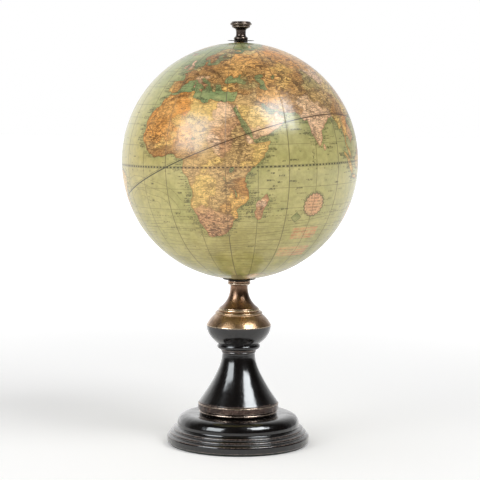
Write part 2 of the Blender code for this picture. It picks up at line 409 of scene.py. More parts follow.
def patinated(name, dark, mid, bright, mottle=70, share=0.5, rough=0.34, pits=0.00004):
    """Brass browned by age under old lacquer, and rubbed bright on the edges, where the pale
    colour is partly a painted highlight.
    """
    brass = Finish(
        name,
        roughness=rough,
        metallic=1.0,
        Coat_Weight=0.5,
        Coat_Roughness=0.24,
        Coat_IOR=1.5,
    )
    clouds = brass.grain(mottle, stretch=(1, 1, 0.6), detail=4, rough=0.55, wander=0.5)
    specks = brass.grain(mottle * 7, detail=4, rough=0.7)
    turning = brass.grain(900, stretch=(0.04, 0.04, 1), detail=2)
    scale = brass.plus(brass.times(clouds, 0.62), brass.times(specks, 0.38))
    browned = brass.band(scale, share - 0.17, share + 0.17)
    # Edges and flecks are painted pale: rubbed brass, and partly a painted highlight.
    edge_wear_and_highlight = brass.band(
        brass.plus(brass.stored("worn"), brass.times(specks, 0.5)), 0.55, 0.95
    )
    colour = brass.blend(browned, dark, mid)
    colour = brass.blend(edge_wear_and_highlight, colour, bright)
    dull = brass.band(browned, 0.0, 1.0, rough + 0.08, rough - 0.05)
    dull = brass.minus(dull, brass.times(edge_wear_and_highlight, 0.08))
    return brass.finish(
        colour=colour,
        roughness=dull,
        normal=brass.bump(turning, 0.00003, under=brass.bump(specks, pits)),
    )


def hammered(blows, depth, width, low, high, seed):
    """Relief of round hammer blows struck at random between two heights in mm."""
    draw = random.Random(seed)
    struck = [
        (draw.uniform(0, math.tau), draw.uniform(low, high) * MM, draw.uniform(0.7, 1.2))
        for _ in range(blows)
    ]

    def relief(radius, height, angle):
        dent = np.zeros(np.broadcast(radius, height, angle).shape)
        for where, level, size in struck:
            aside = (np.mod(angle - where + math.pi, math.tau) - math.pi) * radius
            gap = (aside**2 + (height - level) ** 2) / (width * size * MM) ** 2
            dent = np.maximum(dent, np.clip(1 - gap, 0, None) * size)
        return -depth * MM * dent

    return relief


band = turned(
    "hammered_foot_band",
    [
        (36.6, 42.9), (40.2, 43.0), (41.2, 42.5), (41.5, 41.6), (41.2, 40.8), (41.3, 38.6),
        (41.2, 36.2), (40.1, 35.2), (39.8, 34.7), (40.3, 34.1), (40.0, 32.9), (38.6, 31.5),
        (36.6, 31.5),
    ],
    ease=0.4,
    longest=0.5,
    relief=hammered(230, 0.34, 1.9, 36.4, 40.8, 5),
)
settle(
    band,
    patinated(
        "hammered copper brass",
        paint(40, 30, 27),
        paint(92, 71, 62),
        paint(226, 204, 184),
        mottle=150,
        rough=0.3,
    ),
    "stand",
    "antiqued_brass",
    "foot_band",
)


# Bell column: a trumpet-shaped baluster of ebonised beech, drawn in under a
# fillet and a bead at its top, with a spigot that sits inside the foot band.

bell = turned(
    "turned_bell",
    [
        (3.5, 98.0), (17.9, 98.0), (18.5, 97.3), (18.0, 96.1), (17.2, 95.8), (17.6, 95.0),
        (17.3, 94.2), (16.7, 93.6),
        *bend((16.9, 92.4), (16.8, 76.9), (40.4, 43.4), 26)[1:],
        (36.2, 43.2), (36.2, 31.6), (3.5, 31.6),
    ],
    ease=0.3,
)
settle(bell, ebonised("ebonised bell"), "stand", "ebonised_wood", "bell_column")


# Bowl: the lower half of the urn, ebonised like the bell, with a turned bead
# where it stands on the bell and a spigot that the brass shoulder fits over.

bowl = turned(
    "turned_bowl",
    [
        (3.5, 132.3), (21.4, 132.3), (26.6, 128.6), (30.6, 122.2),
        *bend((32.9, 122.0), (32.7, 112.2), (21.6, 103.9), 16),
        (20.9, 103.3),
        *bend((21.2, 102.9), (22.9, 100.8), (21.2, 98.9), 8),
        (20.2, 98.3), (3.5, 98.3),
    ],
    ease=0.3,
)
settle(bowl, ebonised("ebonised bowl"), "stand", "ebonised_wood", "bowl")


# Shoulder cap: a spun cap of antiqued brass over the urn's upper half, with two
# beads turned at its top. Its edges are painted bright: rubbed by handling, and partly a
# painted highlight.

shoulder = turned(
    "brass_shoulder",
    [
        (19.4, 139.5), (20.5, 139.5), (21.1, 138.6), (20.9, 137.5), (20.7, 137.0),
        (22.6, 136.8), (23.8, 136.0), (24.1, 135.0), (23.8, 134.0),
        *bend((24.6, 133.1), (29.4, 129.6), (32.6, 123.4), 12),
        (33.0, 122.6), (32.6, 122.2), (31.1, 122.2),
        *bend((31.0, 122.6), (28.6, 129.0), (21.9, 132.7), 8),
        (19.4, 133.4),
    ],
    ease=0.35,
    longest=0.9,
    relief=hammered(90, 0.10, 3.0, 123.5, 132.5, 11),
)
settle(
    shoulder,
    patinated(
        "antique brass shoulder",
        paint(116, 88, 62),
        paint(188, 152, 114),
        paint(250, 234, 206),
        mottle=95,
        rough=0.3,
    ),
    "stand",
    "antiqued_brass",
    "shoulder_cap",
)


# Neck: a turned brass spindle, screwed on the tie rod below and on the axis rod
# above. It flares to a lip at its foot, painted bright as rubbed brass and as a painted
# highlight, and the ring at its top stands up round the hub of the seat.

neck = turned(
    "brass_neck",
    [
        (3.3, 167.4), (10.6, 167.4), (10.7, 168.3), (11.2, 168.4), (11.5, 167.8),
        (11.2, 166.4), (11.7, 165.6), (11.4, 164.6), (10.3, 164.1),
        *bend((8.9, 163.4), (8.6, 148.8), (18.6, 141.2), 20),
        (19.6, 140.6), (19.9, 139.9), (19.6, 139.7), (3.3, 139.7),
    ],
    ease=0.3,
    longest=0.9,
)
settle(
    neck,
    patinated(
        "antique brass neck",
        paint(96, 70, 52),
        paint(160, 122, 92),
        paint(250, 232, 208),
        mottle=80,
        rough=0.28,
        share=0.52,
    ),
    "stand",
    "antiqued_brass",
    "neck",
)


# Seat disc: a thin dished plate of dark brass that the ball turns just above,
# with a red fibre washer let into its hub for the lower bush to run on.

seat = turned(
    "dished_seat",
    [
        (3.4, 168.7), (7.4, 168.7), (7.7, 169.3),
        *[
            (r, 290.1 - math.sqrt(120.55**2 - r * r))
            for r in (8.4, 10.0, 12.0, 14.0, 16.0)
        ],
        (16.7, 170.9), (17.0, 170.4), (16.6, 169.8), (13.2, 169.3), (10.4, 168.7),
        (9.4, 167.8), (3.4, 167.8),
    ],
    ease=0.12,
    longest=0.8,
)
dark_brass = patinated(
    "dark bronzed brass",
    paint(14, 10, 8),
    paint(28, 22, 17),
    paint(70, 60, 50),
    mottle=90,
    share=0.53,
    rough=0.36,
)
settle(seat, dark_brass, "stand", "dark_brass", "seat_disc")

fibre = Finish("red vulcanised fibre", roughness=0.6)
flecks = fibre.grain(1900, detail=3)
cover(
    "seat_washer",
    fibre.finish(
        colour=fibre.blend(flecks, paint(96, 32, 24), paint(140, 56, 40)),
        normal=fibre.bump(flecks, 0.00005),
    ),
)


# Ball: two half shells of pressed pulp board over a card hoop, with brass
# bushes at the poles. The paper gores cover all of it but the bushes' faces.

board = Finish("moulded pulp board", roughness=0.9)
pulp = board.grain(700, detail=5, rough=0.6)
cells = board.cells(260)
moulded = board.finish(
    colour=board.blend(pulp, paint(142, 120, 92), paint(186, 166, 134)),
    normal=board.bump(pulp, 0.0002, under=board.bump(cells, 0.0001)),
)
for node in ("ball_south", "ball_north", "equator_hoop"):
    cover(node, moulded)

bushing = Finish("turned brass bush", roughness=0.3, metallic=1.0)
lathe_marks = bushing.grain(1500, stretch=(1, 1, 0.1), detail=2)
for node in ("lower_bush", "upper_bush"):
    cover(
        node,
        bushing.finish(
            colour=bushing.blend(lathe_marks, paint(150, 112, 62), paint(198, 156, 92)),
            normal=bushing.bump(lathe_marks, 0.00002),
        ),
    )


# Map: the world as it was engraved for the gores, worked out once for all of
# them: which ground is land, how far off the coast lies, what each country and
# sea was tinted, and where the engraver's ink falls. No place carries a name.

FINE = 0.25  # degrees between the points that the map is drawn on
WIDE = round(360 / FINE)  # columns, from 180 west
TALL = round(180 / FINE) + 1  # rows, from the south pole
LONGITUDE = np.arange(WIDE) * FINE - 180
LATITUDE = np.arange(TALL) * FINE - 90
engraver = random.Random(1912)

OLD_WORLD = """-5.9,35.8 -2.2,35.1 1.2,36.5 5,36.8 8.6,36.9 10.2,37.3 11,36.9 10.6,35.8
10.1,34.3 11.2,33.2 13.2,32.9 15.3,32.3 15.8,31.4 18,30.4 20,30.9 20.1,32.2 21.7,32.9
23.2,32.2 25.1,31.6 28.9,30.9 31,31.5 32.4,31.2 34.2,31.3 34.9,32.6 35.9,35 36,36.8 34,36.3
32.4,36.1 30.6,36.8 28.2,36.7 27,37.4 26.2,39.4 26.1,40.7 24.2,40.7 22.9,40.6 22.9,39.5
23.2,37.9 23.2,36.5 21.4,36.8 21.2,38.3 19.5,40.2 19.4,41.6 17.8,42.9 15.2,44.2 13.6,45.6
12.4,44.3 14.1,42.5 16.9,41.3 18.5,39.9 17,40.4 16.9,38.9 15.7,38 15.8,39.5 14.3,40.7
12.3,41.7 10.5,42.9 9,44.4 7.4,43.7 3.9,43.5 3.2,42 0.2,40.4 -0.4,38.5 -2.1,36.7 -5.5,36
-6.3,36.7 -8.9,37 -9.5,38.8 -8.8,41 -9.2,43.2 -5.5,43.6 -1.6,43.4 -1.2,45 -2.3,47.2
-4.6,48.5 -1.5,48.6 -1.9,49.7 -1.2,49.4 1.6,50.5 3.4,51.4 4.7,52.9 7,53.4 8.6,54.3 8.2,56.8
10.6,57.6 10.7,55.8 11,54.2 14.2,53.9 19,54.4 21,55.5 21.8,57.6 24.3,57.9 23.6,59.2 28,59.5
30,59.9 28,60.5 22.9,59.9 21.4,61.6 22.5,63.6 25.2,65 22.2,65.7 19.5,63.4 17.2,61.7 18.8,60
17,58.8 16.4,56.7 14.3,55.5 12.8,56.2 11.4,58.9 10.5,59.2 7.2,58.1 5.2,59.2 5.2,61.8
8.5,63.3 11,64.5 13.5,66.5 16,68.6 20,69.9 25,71 28,71 31,69.8 36,69 40.5,67.8 41.2,66.8
37.5,66.3 32.6,66.9 34.8,64.5 37.5,64.2 40,64.7 43.8,66.2 44.2,68 46.5,68.1 50,67.9
54.5,68.3 59,68.8 60.5,69.8 64.5,69.2 68,68.3 67.5,69.5 67,70.8 69,72.8 72,70.5 72.5,66.5
74,68.5 73,71.4 75,72.9 80.5,72.2 81,73.5 87,75 93,76 100,76.4 104.3,77.7 112,76.2 110,74
113.5,73.6 123,73.2 128,72.5 131,71 137.5,71.4 140,72.4 146,72.3 153,70.9 160.9,69.5
170,69.8 175,69.8 180,68.9 185,67.3 190,66 186.5,64.5 180.8,65 179.3,62.5 174.5,61.8
170.3,60 163,59.5 163.2,57.8 162,55 160,53.3 158.3,52.8 156.7,51 155.7,54 156,57.5
160.5,60.5 163.5,62.5 160,61.7 155,59.4 152.5,59 148.5,59.4 142,59 137.8,56.5 135.6,54.6
138.5,54 141.3,53 140.6,51 139.2,48 135.6,44.6 132.3,43.2 129.9,41.6 127.5,39.5 129.4,37
129.2,35.2 126.4,34.4 126.2,36.8 125.3,38 124.2,39.9 121.2,39 121.4,40.9 119,39.3 117.7,38.8
118.9,37.4 120.8,37.8 122.5,37 120.4,36.1 119.3,34.9 120.8,31.8 121.9,29.5 120.6,27.8
119,25.4 116.8,23.3 113.8,22.3 110.5,21.3 109.7,20.4 108.3,21.5 106.7,20.7 105.8,18.6
108,16.2 109.2,13.5 109,11.4 106.8,10.4 104.8,8.6 104.9,10 103.6,10.6 102.7,12 101,12.6
100.9,13.4 100.1,13.4 100,12.5 99.2,10.5 99.3,9.3 100.5,7.2 102.3,6.1 103.4,3.8 104.2,1.4
103.5,1.3 101.3,2.8 100.6,4.2 99.6,6.6 98.3,8.4 98.6,11.8 98.1,14 97.6,16.4 96.6,16.9
95.4,15.8 94.3,16.1 94.2,18.8 92,21.2 91,22.5 89.5,21.8 87.2,21.7 86.8,20.8 84.9,19.3
82.2,16.6 80.1,15.6 80.2,13.6 79.9,11.8 79.2,10.3 78.2,8.8 77.5,8.1 76.3,9.6 74.7,12.8
73.5,16 72.8,19.2 72.7,21.8 72.1,21.2 70.4,20.9 69,22.3 68.8,23.2 67.2,24.5 66.5,25.3
61.6,25.1 57.3,25.7 56.9,27.1 55,26.7 52.5,27.5 50.9,28.8 49.9,30.1 48,29.9 48.8,28.3
50.2,26.6 50.8,25.3 51.6,25.9 51.6,24.4 54,24.2 55.4,25.3 56.3,26.2 56.8,24.3 58.6,23.6
59.8,22.5 58.7,20.6 57.7,19 55,17.3 51.9,15.5 48.5,14 45,12.8 43.4,12.7 42.9,14.8 42.4,16.7
40.8,19.2 39,21.8 37.3,24.9 35.5,27.9 34.9,29.4 34.3,27.8 32.6,29.9 33.6,27.9 34,26.6
35.6,24 37.2,21 37.4,18.8 38.5,18 39.7,15.1 41.2,14.6 42.7,13 43.3,11.9 43.2,11.4 44.6,10.5
47.5,11.1 51.1,11.9 51.3,11.5 50.9,10.3 50,8 48,4.5 46,2.4 43.5,0.2 41.6,-1.7 40.2,-2.6
39.2,-4.7 38.8,-6.5 39.5,-7 39.4,-8.8 40.5,-10.6 40.6,-12.5 40.7,-15 39.1,-16.9 36.9,-17.9
34.9,-19.8 34.7,-20.6 35.5,-22.2 35.5,-24 32.9,-25.6 32.6,-27 32.3,-28.5 30.9,-30.4
28.3,-32.8 25.7,-34 22.5,-34.1 20,-34.8 18.4,-34.1 18.2,-32.6 17.3,-30.3 16.4,-28.6
15.1,-26.5 14.5,-22.7 13.2,-20.2 11.8,-17.9 12,-15.5 13.6,-12.3 13.8,-10.8 13,-8.8 12.3,-6.1
11.8,-4.6 9.7,-2.4 9,-0.8 9.4,0.4 9.6,2.3 9.8,3.3 8.9,4.5 7,4.4 6,4.3 5,5.6 3.4,6.4 1.2,6.1
-2,4.8 -4,5.2 -7.5,4.4 -9.2,5.9 -11.4,6.9 -12.9,7.9 -13.3,9 -14.8,10.9 -16.7,12.4 -16.8,13.4
-17.4,14.7 -16.5,16.1 -16.1,18.2 -16.4,19.5 -17,20.9 -16.1,23.7 -14.5,26.1 -12.9,27.9
-10.2,29.3 -9.7,30.5 -9.8,31.5 -8.5,33.3 -6.8,34.1"""

NEW_WORLD = """-168,65.6 -161,66.3 -166.3,68.3 -156.7,71.3 -145,70 -136.5,69 -128,70.4
-115,68.5 -108,67.7 -101.5,67.7 -95,71.5 -88,68 -82,69.3 -82,66.5 -87,64.8 -94.5,60.5
-93,58.6 -88.5,56.7 -82.3,55.1 -80,51.3 -78.6,54.5 -77,57.5 -78,62.4 -70,61 -66.5,58.8
-64.5,60.3 -61.5,57 -56,53 -59.8,50.2 -66,50.2 -65,48.5 -61.2,45.7 -66,43.7 -67.2,44.9
-70.5,43.2 -70.3,41.8 -74,40.6 -75.5,38 -75.7,35.3 -78.5,33.9 -81.3,31.2 -80.1,26.5
-81.2,25.2 -82.7,28 -84.5,30 -89.5,30.2 -91.5,29.4 -94.8,29.3 -97.3,27.4 -97.8,22.5
-95.9,18.8 -94.2,18.2 -91,18.8 -90.3,21 -87,21.5 -88.3,18 -88.7,15.9 -83.3,15 -83.6,11
-81.8,9 -79.6,9.5 -77.3,8.5 -75.5,10.6 -71.7,12.4 -71.5,10.8 -68,11.3 -62,10.7 -60,8.5 -57,6
-51.7,4 -50,0.8 -48.4,-1 -44.3,-2.6 -40,-2.9 -35.3,-5.4 -34.8,-8 -37.2,-11.5 -39,-13.5
-39.2,-17.7 -41,-22 -43.5,-23 -48.3,-25.9 -48.6,-28.3 -52.3,-32.5 -54.9,-34.9 -58.4,-34
-56.8,-36.5 -58,-38.2 -62.2,-38.9 -62.5,-41 -65.1,-41 -63.8,-42.6 -67.4,-46 -65.8,-47.8
-69.1,-51 -68.4,-52.6 -65.2,-54.8 -69,-55.5 -74,-52.5 -75.5,-48 -73.2,-42 -73.6,-37.3
-71.5,-32.5 -70.4,-25 -70.3,-18.4 -76.2,-13.8 -79.8,-7.2 -81.3,-4.7 -80,-2.3 -80,0.8
-77.5,2.6 -77.4,6.5 -78.3,8 -80.3,7.4 -83,8.3 -85.8,10 -87.6,12.9 -91.5,14 -94.5,16.2
-99.5,16.7 -105.5,19.9 -105.4,21.5 -109,25.6 -112.8,30 -114.8,31.8 -113,28.4 -110,23
-112.2,25.5 -115,28 -117.2,32.5 -120.6,34.6 -122.5,37.6 -124.3,40.4 -124,46.3 -124.7,48.4
-123,49 -127.8,52 -130.5,54.6 -133.5,57 -139.5,59.7 -146.5,60.9 -151.5,60 -154,58 -163,54.8
-158,57.5 -162,58.7 -165,60.8 -164.5,63 -161,64.5"""

# The rest of the land, then the lakes and inland seas, parted by semicolons.
ISLANDS_AND_LAKES = """49.3,-12 50.5,-15.5 49.5,-17.8 47.6,-23.3 46.9,-25 45.1,-25.5
43.7,-23.6 43.3,-21.5 44.4,-19.9 44,-17.5 44.5,-16.2 46.3,-15.7 47.9,-13.7; -5.7,50.1
-3.5,50.3 1.3,51.1 1.7,52.7 0.2,53 -0.2,54.2 -1.6,55.3 -3.2,56 -2,57.6 -3.2,58.6 -5,58.6
-5.6,57 -5,55 -3,54 -4.5,53.3 -4.2,52.3 -5.2,51.8 -3.2,51.4 -4.5,51; -6.1,52.3 -6,53.8
-5.5,54.6 -7.3,55.3 -8.6,54.3 -10,53.9 -10.2,51.9 -8.3,51.8; -22.6,63.9 -18.8,63.4 -14,64.7
-15,66.2 -18,66.1 -22.5,66.4 -24,65.5 -22,64.8; 12.5,38 15.5,38.2 15.1,36.7; 8.3,39 9.6,39.2
9.5,41.1 8.3,40.9; 8.7,41.6 9.4,41.6 9.5,43 8.6,42.4; 23.6,35.3 24.8,35.5 26.2,35.1;
32.4,34.8 34.5,35.6 33.7,35; 10.5,79.5 16.5,76.7 21,78.4 25,80 17,80; 52,71.5 55.5,70.6
57.5,71.5 56,73.5 61,75.5 68.5,76.8 66,77 57.5,75.4 53.5,73.7; 79.9,9.7 81.9,7.5 80.6,6
79.8,7.5; 95.3,5.6 98.2,4 100.5,2.1 103.8,-1 106,-3.2 105.8,-5.8 104.5,-5.8 102.3,-4
100.4,-1.2 98.7,1.7 96,3.8; 105.3,-6.8 106.8,-6 110.8,-6.4 114.4,-7.8 114.3,-8.7 110,-8.1
106.5,-7.4; 109,1.6 111.4,2.5 113.2,3.3 116.7,6.9 119.2,5.3 117.8,3 118.9,0.9 116.4,-1.8
116,-3.9 114,-3.4 111.8,-3.4 110.1,-1.7 109,0.3; 119.6,-0.2 120.8,1.3 125,1.6 123.3,0.4
120.2,0.4 121,-1.2 123.2,-0.9 121.7,-2 122.8,-4.2 121.5,-4.6 120.8,-2.8 120.4,-5.5
119.5,-5.3 118.9,-2.8; 131,-0.8 134.1,-0.9 134.5,-2.9 137.8,-1.6 141,-2.6 144.5,-3.9
147.3,-6.2 147.8,-8 150.8,-10.4 147.2,-9.6 144,-7.8 142.5,-9.2 138.2,-8.3 137.9,-5.3
133,-4.1 132.5,-2.6; 120.6,18.5 122.2,18.4 121.6,16 123.9,13 120.7,13.8 119.9,15.9; 122,7
123.5,8.6 125.5,9.8 126.5,7.3 125.4,5.7 124,6.6; 122.2,10.5 123.2,11.5 125.2,12.4 125.2,10.4
123.2,9.3; 120.1,23 121,25.1 121.9,25 120.8,22; 108.7,19.2 110.9,20 110,18.4; 131,34
133,35.4 136,35.8 137.3,37.3 139.5,38.5 140,40.5 141.2,41.4 142,39.5 140.9,36.9 140,35.1
136.9,34.4 135.6,33.5 133,34.2; 129.8,33.2 131.6,33.6 131.3,31.4 130.2,31.3; 132.5,33.7
134.6,34 134,33.3 132.8,32.8; 140,41.5 141.6,43.3 141.8,45.4 145.3,43.6 143.2,42; 142,46
143.5,46.8 143,49.2 143.5,52.5 142.6,54.3 142,51.5 142,48.5; 113.7,-22.6 114.2,-26.3
115.7,-31.7 115.1,-34.3 118,-35 123.5,-33.9 129,-31.6 131.2,-31.5 134.3,-32.9 135.7,-34.9
137.8,-32.8 138.2,-35.6 140.6,-38 143.6,-38.8 146.3,-39 149.9,-37.5 151.3,-33.8 153.1,-30.8
153.5,-28 152.9,-25.2 150.8,-23.2 148.8,-20.3 146.1,-18.7 145.4,-15 143.6,-14.2 142.5,-10.8
141.6,-13.5 140.9,-17.5 138.7,-16.8 135.6,-15 136.9,-12.2 132.6,-11.5 130.7,-12.7
129.4,-14.9 126.7,-14 123.6,-17.3 122.2,-18.2 119,-20 116.8,-20.6; 144.7,-40.8 148.3,-40.9
147.9,-43.2 146,-43.5; 172.7,-34.5 175.5,-36.6 178.4,-37.7 176.9,-39.4 175.3,-41.6
173.9,-39.4 174.6,-37.5; 172.7,-40.6 174.2,-41.6 172.8,-43.8 170.6,-45.9 168.4,-46.6
166.5,-45.9 170,-43; -43.9,60 -48.5,61.3 -53.5,67 -54.5,70.5 -59,75.8 -70,76.8 -72,78.5
-63,81.5 -35,83.5 -20,81.5 -19,76.5 -22,71.5 -31,68.3 -40.5,65; -65,61.8 -64,63.5 -67,68
-78,73.5 -90,73.8 -84,70 -73,66 -77.8,64.5 -71,62.2; -116.5,69.2 -105,69 -104.5,71.5 -113,73
-118.5,71.8; -90,77 -79,76.5 -65,82.5 -90,81.8; -92,75 -80,74.8 -81,76.3 -93,76.8;
-59.3,47.7 -55.8,46.8 -52.8,47.5 -55.5,51.4 -57.5,50.5; -84.9,21.9 -82,23.1 -77.5,21.8
-74.3,20.2 -77.7,19.9 -81,22; -74.4,18.5 -73,19.9 -69.8,19.7 -68.4,18.6 -71.4,17.7;
53.2,12.7 54.4,12.7 54.3,12.3; 55.2,-20.9 55.8,-21 55.6,-21.4; 57.3,-20 57.8,-20.2
57.5,-20.5; 28,42 28.1,43.5 30,45.5 31.5,46.6 33,46 33.5,44.6 35.4,45.1 36.6,45.3 38,47.1
39,47.2 37.5,45.2 39,44.1 41.4,42.5 41.5,41.5 38.5,41 35.1,42 31.5,41.3 29.1,41.2; 47.5,45.6
49.5,46.5 51.2,47 53,46.6 53,45.2 51.2,44.4 50.4,44.3 52.6,42.6 52.8,41.2 53,39.5 53.8,37
51.5,36.7 49,37.6 49.3,39.2 50.2,40.4 48.6,42 47.6,43 47,44.6; 58.4,45.5 60.5,46.5 61.6,45.5
59.5,43.6 58.4,43.9; 31.8,-1 32.5,0.3 34.1,0.2 34,-1.3 33.1,-2.4 31.8,-2.3; 29.2,-3.4
29.6,-4.8 29.9,-6 30.9,-8.6 30.3,-7.6 29.5,-5.9 29.1,-4.5; 34,-9.6 34.9,-11.6 35.2,-14.3
34.6,-13.8 34.3,-12.2 33.9,-10.2; 13.3,13.2 14.4,14 15,13 14.2,12.6; -92,46.7 -88,48.6
-84.7,46.6 -87.5,46.4; -88,42 -86.3,41.8 -85,45.8 -87.8,44.8; -84,46 -80,45.5 -81.7,43.3
-83.5,45"""

ICE_SHORE = """-180,-78 -165,-78 -150,-77 -130,-74 -100,-73 -80,-73 -67,-68 -58,-63.5
-61,-67 -62,-74 -40,-78 -25,-75 -10,-71 10,-70 30,-69 45,-67.5 56,-66.2 70,-69 80,-68 95,-66
115,-66.5 135,-66 150,-68.5 165,-71 165,-77 180,-78"""


def line(text):
    """The points of an outline written as longitude,latitude, with any more numbers."""
    return [tuple(float(n) for n in pair.split(",")) for pair in text.split()]


def wandering(points, wildness=0.1, finest=0.45, closed=True):
    """The outline as an engraver cuts it: each stretch wanders off its straight course."""
    drawn = []
    stops = points + points[:1] if closed else points
    for start, end in zip(stops, stops[1:]):
        stretch = [start, end]
        while True:
            gap = math.dist(stretch[0], stretch[1])
            if gap < finest:
                break
            finer = [stretch[0]]
            for a, b in zip(stretch, stretch[1:]):
                push = engraver.gauss(0, wildness) * math.dist(a, b)
                turn = engraver.uniform(0, math.tau)
                finer.append(
                    (
                        (a[0] + b[0]) / 2 + push * math.cos(turn),
                        (a[1] + b[1]) / 2 + push * math.sin(turn),
                    )
                )
                finer.append(b)
            stretch = finer
        drawn.extend(stretch[:-1])
    drawn.append(stops[-1])
    return drawn


shores = [wandering(line(OLD_WORLD)), wandering(line(NEW_WORLD))]
shores += [wandering(line(loop)) for loop in ISLANDS_AND_LAKES.split(";")]
ice_edge = wandering(line(ICE_SHORE), closed=False)

# A point is land if an odd number of shores lie west of it.
SPARE = round(20 / FINE)  # columns past 180 east, for land that crosses it
crossings = np.zeros((TALL, WIDE + SPARE), bool)
for shore in [*shores, [*ice_edge, (180, -90.1), (-180, -90.1), ice_edge[0]]]:
    for (x0, y0), (x1, y1) in zip(shore, shore[1:]):
        low, high = sorted((y0, y1))
        first = math.ceil((low + 90) / FINE)
        for row in range(max(first, 0), TALL):
            level = row * FINE - 90
            if level >= high:
                break
            where = x0 + (x1 - x0) * (level - y0) / (y1 - y0)
            column = max(math.ceil((where + 180) / FINE), 0)
            if column < WIDE + SPARE:
                crossings[row, column] ^= True
filled = np.logical_xor.accumulate(crossings, axis=1)
land = filled[:, :WIDE].copy()
land[:, :SPARE] |= filled[:, WIDE:]

# How many degrees off the nearest shore lies, up to REACH.
REACH = 2.5
shore_gap = np.full((TALL, WIDE), REACH)
for shore in [*shores, ice_edge]:
    for (x0, y0), (x1, y1) in zip(shore, shore[1:]):
        top = min(89.5, max(y0, y1) + REACH)
        bottom = max(-89.5, min(y0, y1) - REACH)
        rows = np.arange(math.ceil((bottom + 90) / FINE), math.floor((top + 90) / FINE) + 1)
        narrow = math.cos(math.radians((y0 + y1) / 2))
        side = REACH / max(narrow, 0.15)
        columns = np.arange(
            math.floor((min(x0, x1) - side + 180) / FINE),
            math.ceil((max(x0, x1) + side + 180) / FINE),
        )
        east = (columns * FINE - 180 - x0)[None, :] * narrow
        north = (rows * FINE - 90 - y0)[:, None]
        along_x, along_y = (x1 - x0) * narrow, y1 - y0
        share = (east * along_x + north * along_y) / (along_x**2 + along_y**2 + 1e-9)
        share = np.clip(share, 0, 1)
        gap = np.hypot(east - share * along_x, north - share * along_y)
        spot = np.ix_(rows, columns % WIDE)
        shore_gap[spot] = np.minimum(shore_gap[spot], gap)
coast = np.where(land, shore_gap, -shore_gap)


def cloud(period, seed):
    """Smooth noise from -1 to 1 over the whole map, with lumps of that many degrees."""
    draw = np.random.default_rng(seed)
    across, up = round(360 / period), round(180 / period) + 2
    knots = draw.uniform(-1, 1, (up, across))
    x = np.arange(WIDE) * FINE / period
    y = np.arange(TALL) * FINE / period
    left, down = x.astype(int), y.astype(int)
    tx, ty = x - left, y - down
    tx, ty = tx * tx * (3 - 2 * tx), (ty * ty * (3 - 2 * ty))[:, None]
    near, far = knots[down][:, left % across], knots[down][:, (left + 1) % across]
    near2, far2 = knots[down + 1][:, left % across], knots[down + 1][:, (left + 1) % across]
    return (near * (1 - tx) + far * tx) * (1 - ty) + (near2 * (1 - tx) + far2 * tx) * ty


def globe_points(longitude, latitude):
    """Points on a unit ball."""
    lon, lat = np.radians(longitude), np.radians(latitude)
    return np.stack(
        [np.cos(lat) * np.cos(lon), np.cos(lat) * np.sin(lon), np.sin(lat) + 0 * lon], -1
    )


# The colourist's washes: where the countries that take each one have their middles.
WASHES = {
    "orange": (236, 170, 86),
    "deep orange": (230, 152, 58),
    "amber": (232, 180, 92),
    "straw": (240, 206, 130),
    "yellow": (228, 190, 104),
    "rose": (240, 198, 160),
    "pink": (204, 150, 108),
    "tan": (198, 160, 100),
    "brown": (168, 110, 46),
    "olive": (180, 162, 100),
    "russet": (184, 128, 60),
}
COUNTRIES = {
    "deep orange": """-15,24 -12,19 -9,27 -6,33 0,30 4,34 3,27 -3,22 -8,15 0,17 -14,14
        7,31 8,27 85,58 75,60 -60,-12 -112,58 103,18 138,62""",
    "orange": """40,56 50,56 46,62 55,62 36,60 31,50 53,33 57,32 95,62 120,60 -105,40
        -92,16 -67,-32 121,-26 -140,66 104,52 9,15 60,46""",
    "amber": """5,20 10,35 -4,11 2,12 101,15 66,42 36,-15 34,-21 35,-25 115,64 -95,48
        -54,-22 134,-22 143,-6 -8,40 68,50 31,39""",
    "straw": """44,27 48,24 51,21 45,21 106,34 -100,30 -71,-42 146,-30 48,66""",
    "yellow": """14,29 19,27 22,31 13,25 45,5 47,8 43,1 17,-12 14,-15 19,-16 22,-8 97,20
        113,26 128,45 -82,34 -48,-8 101,0 138,36 112,42 39,26 24,1""",
    "rose": """77,27 74,24 77,17 78,11 27,28 31,26 28,21 24,12 46,15 52,17 57,22 74,31
        100,46 -120,48 -74,5 152,-24 45,-16 -2,53 80,22 85,25 13,42""",
    "pink": """31,18 30,13 26,16 23,-30 27,-30 25,-26 30,-27 22,-22 17,-23 18,-27 107,15
        -90,40 -64,0 46,-21 117,34 48,-14 16,40""",
    "tan": """38,9 41,6 37,13 18,17 17,11 20,5 16,-1 12,3 26,-3 28,-8 37,-2 35,-6 43,33
        38,34 84,33 90,31 27,-13 24,-17 -76,42 -70,-12 132,-30 60,28 125,54""",
    "brown": """-12,9 -8,7 -3,7 2,8 10,51 14,50 2,47 -1,44 15,62 12,58 65,33 64,30 21,43
        25,43 -103,22 168,-43 100,28""",
    "olive": """25,64 20,67 112,34 82,40 88,43 -66,-24 -130,60 23,39 -8,42 4,52 41,41""",
    "russet": """20,47 29,-19 31,-30 38,-10 -4,40 36,40 40,38 22,52 26,46 50,48 76,45
        72,38 -112,34 -57,-30 125,-18 6,8 12,8 62,58""",
}
seeds, groups = [], []
for number, places in enumerate(COUNTRIES.values()):
    for place in line(places):
        seeds.append(place)
        groups.append(number)
seeds, groups = np.array(seeds), np.array(groups)
tints = 1.04 * np.array([paint(*WASHES[wash])[:3] for wash in COUNTRIES])
warped = globe_points(
    LONGITUDE[None, :] + 2.4 * cloud(6, 3) + 1.3 * cloud(2, 4),
    LATITUDE[:, None] + 2.2 * cloud(6, 5) + 1.2 * cloud(2, 6),
)
middles = globe_points(seeds[:, 0], seeds[:, 1])
land_tint = np.zeros((TALL, WIDE, 3))
RUN = 0.4  # degrees over which one wash runs into the next
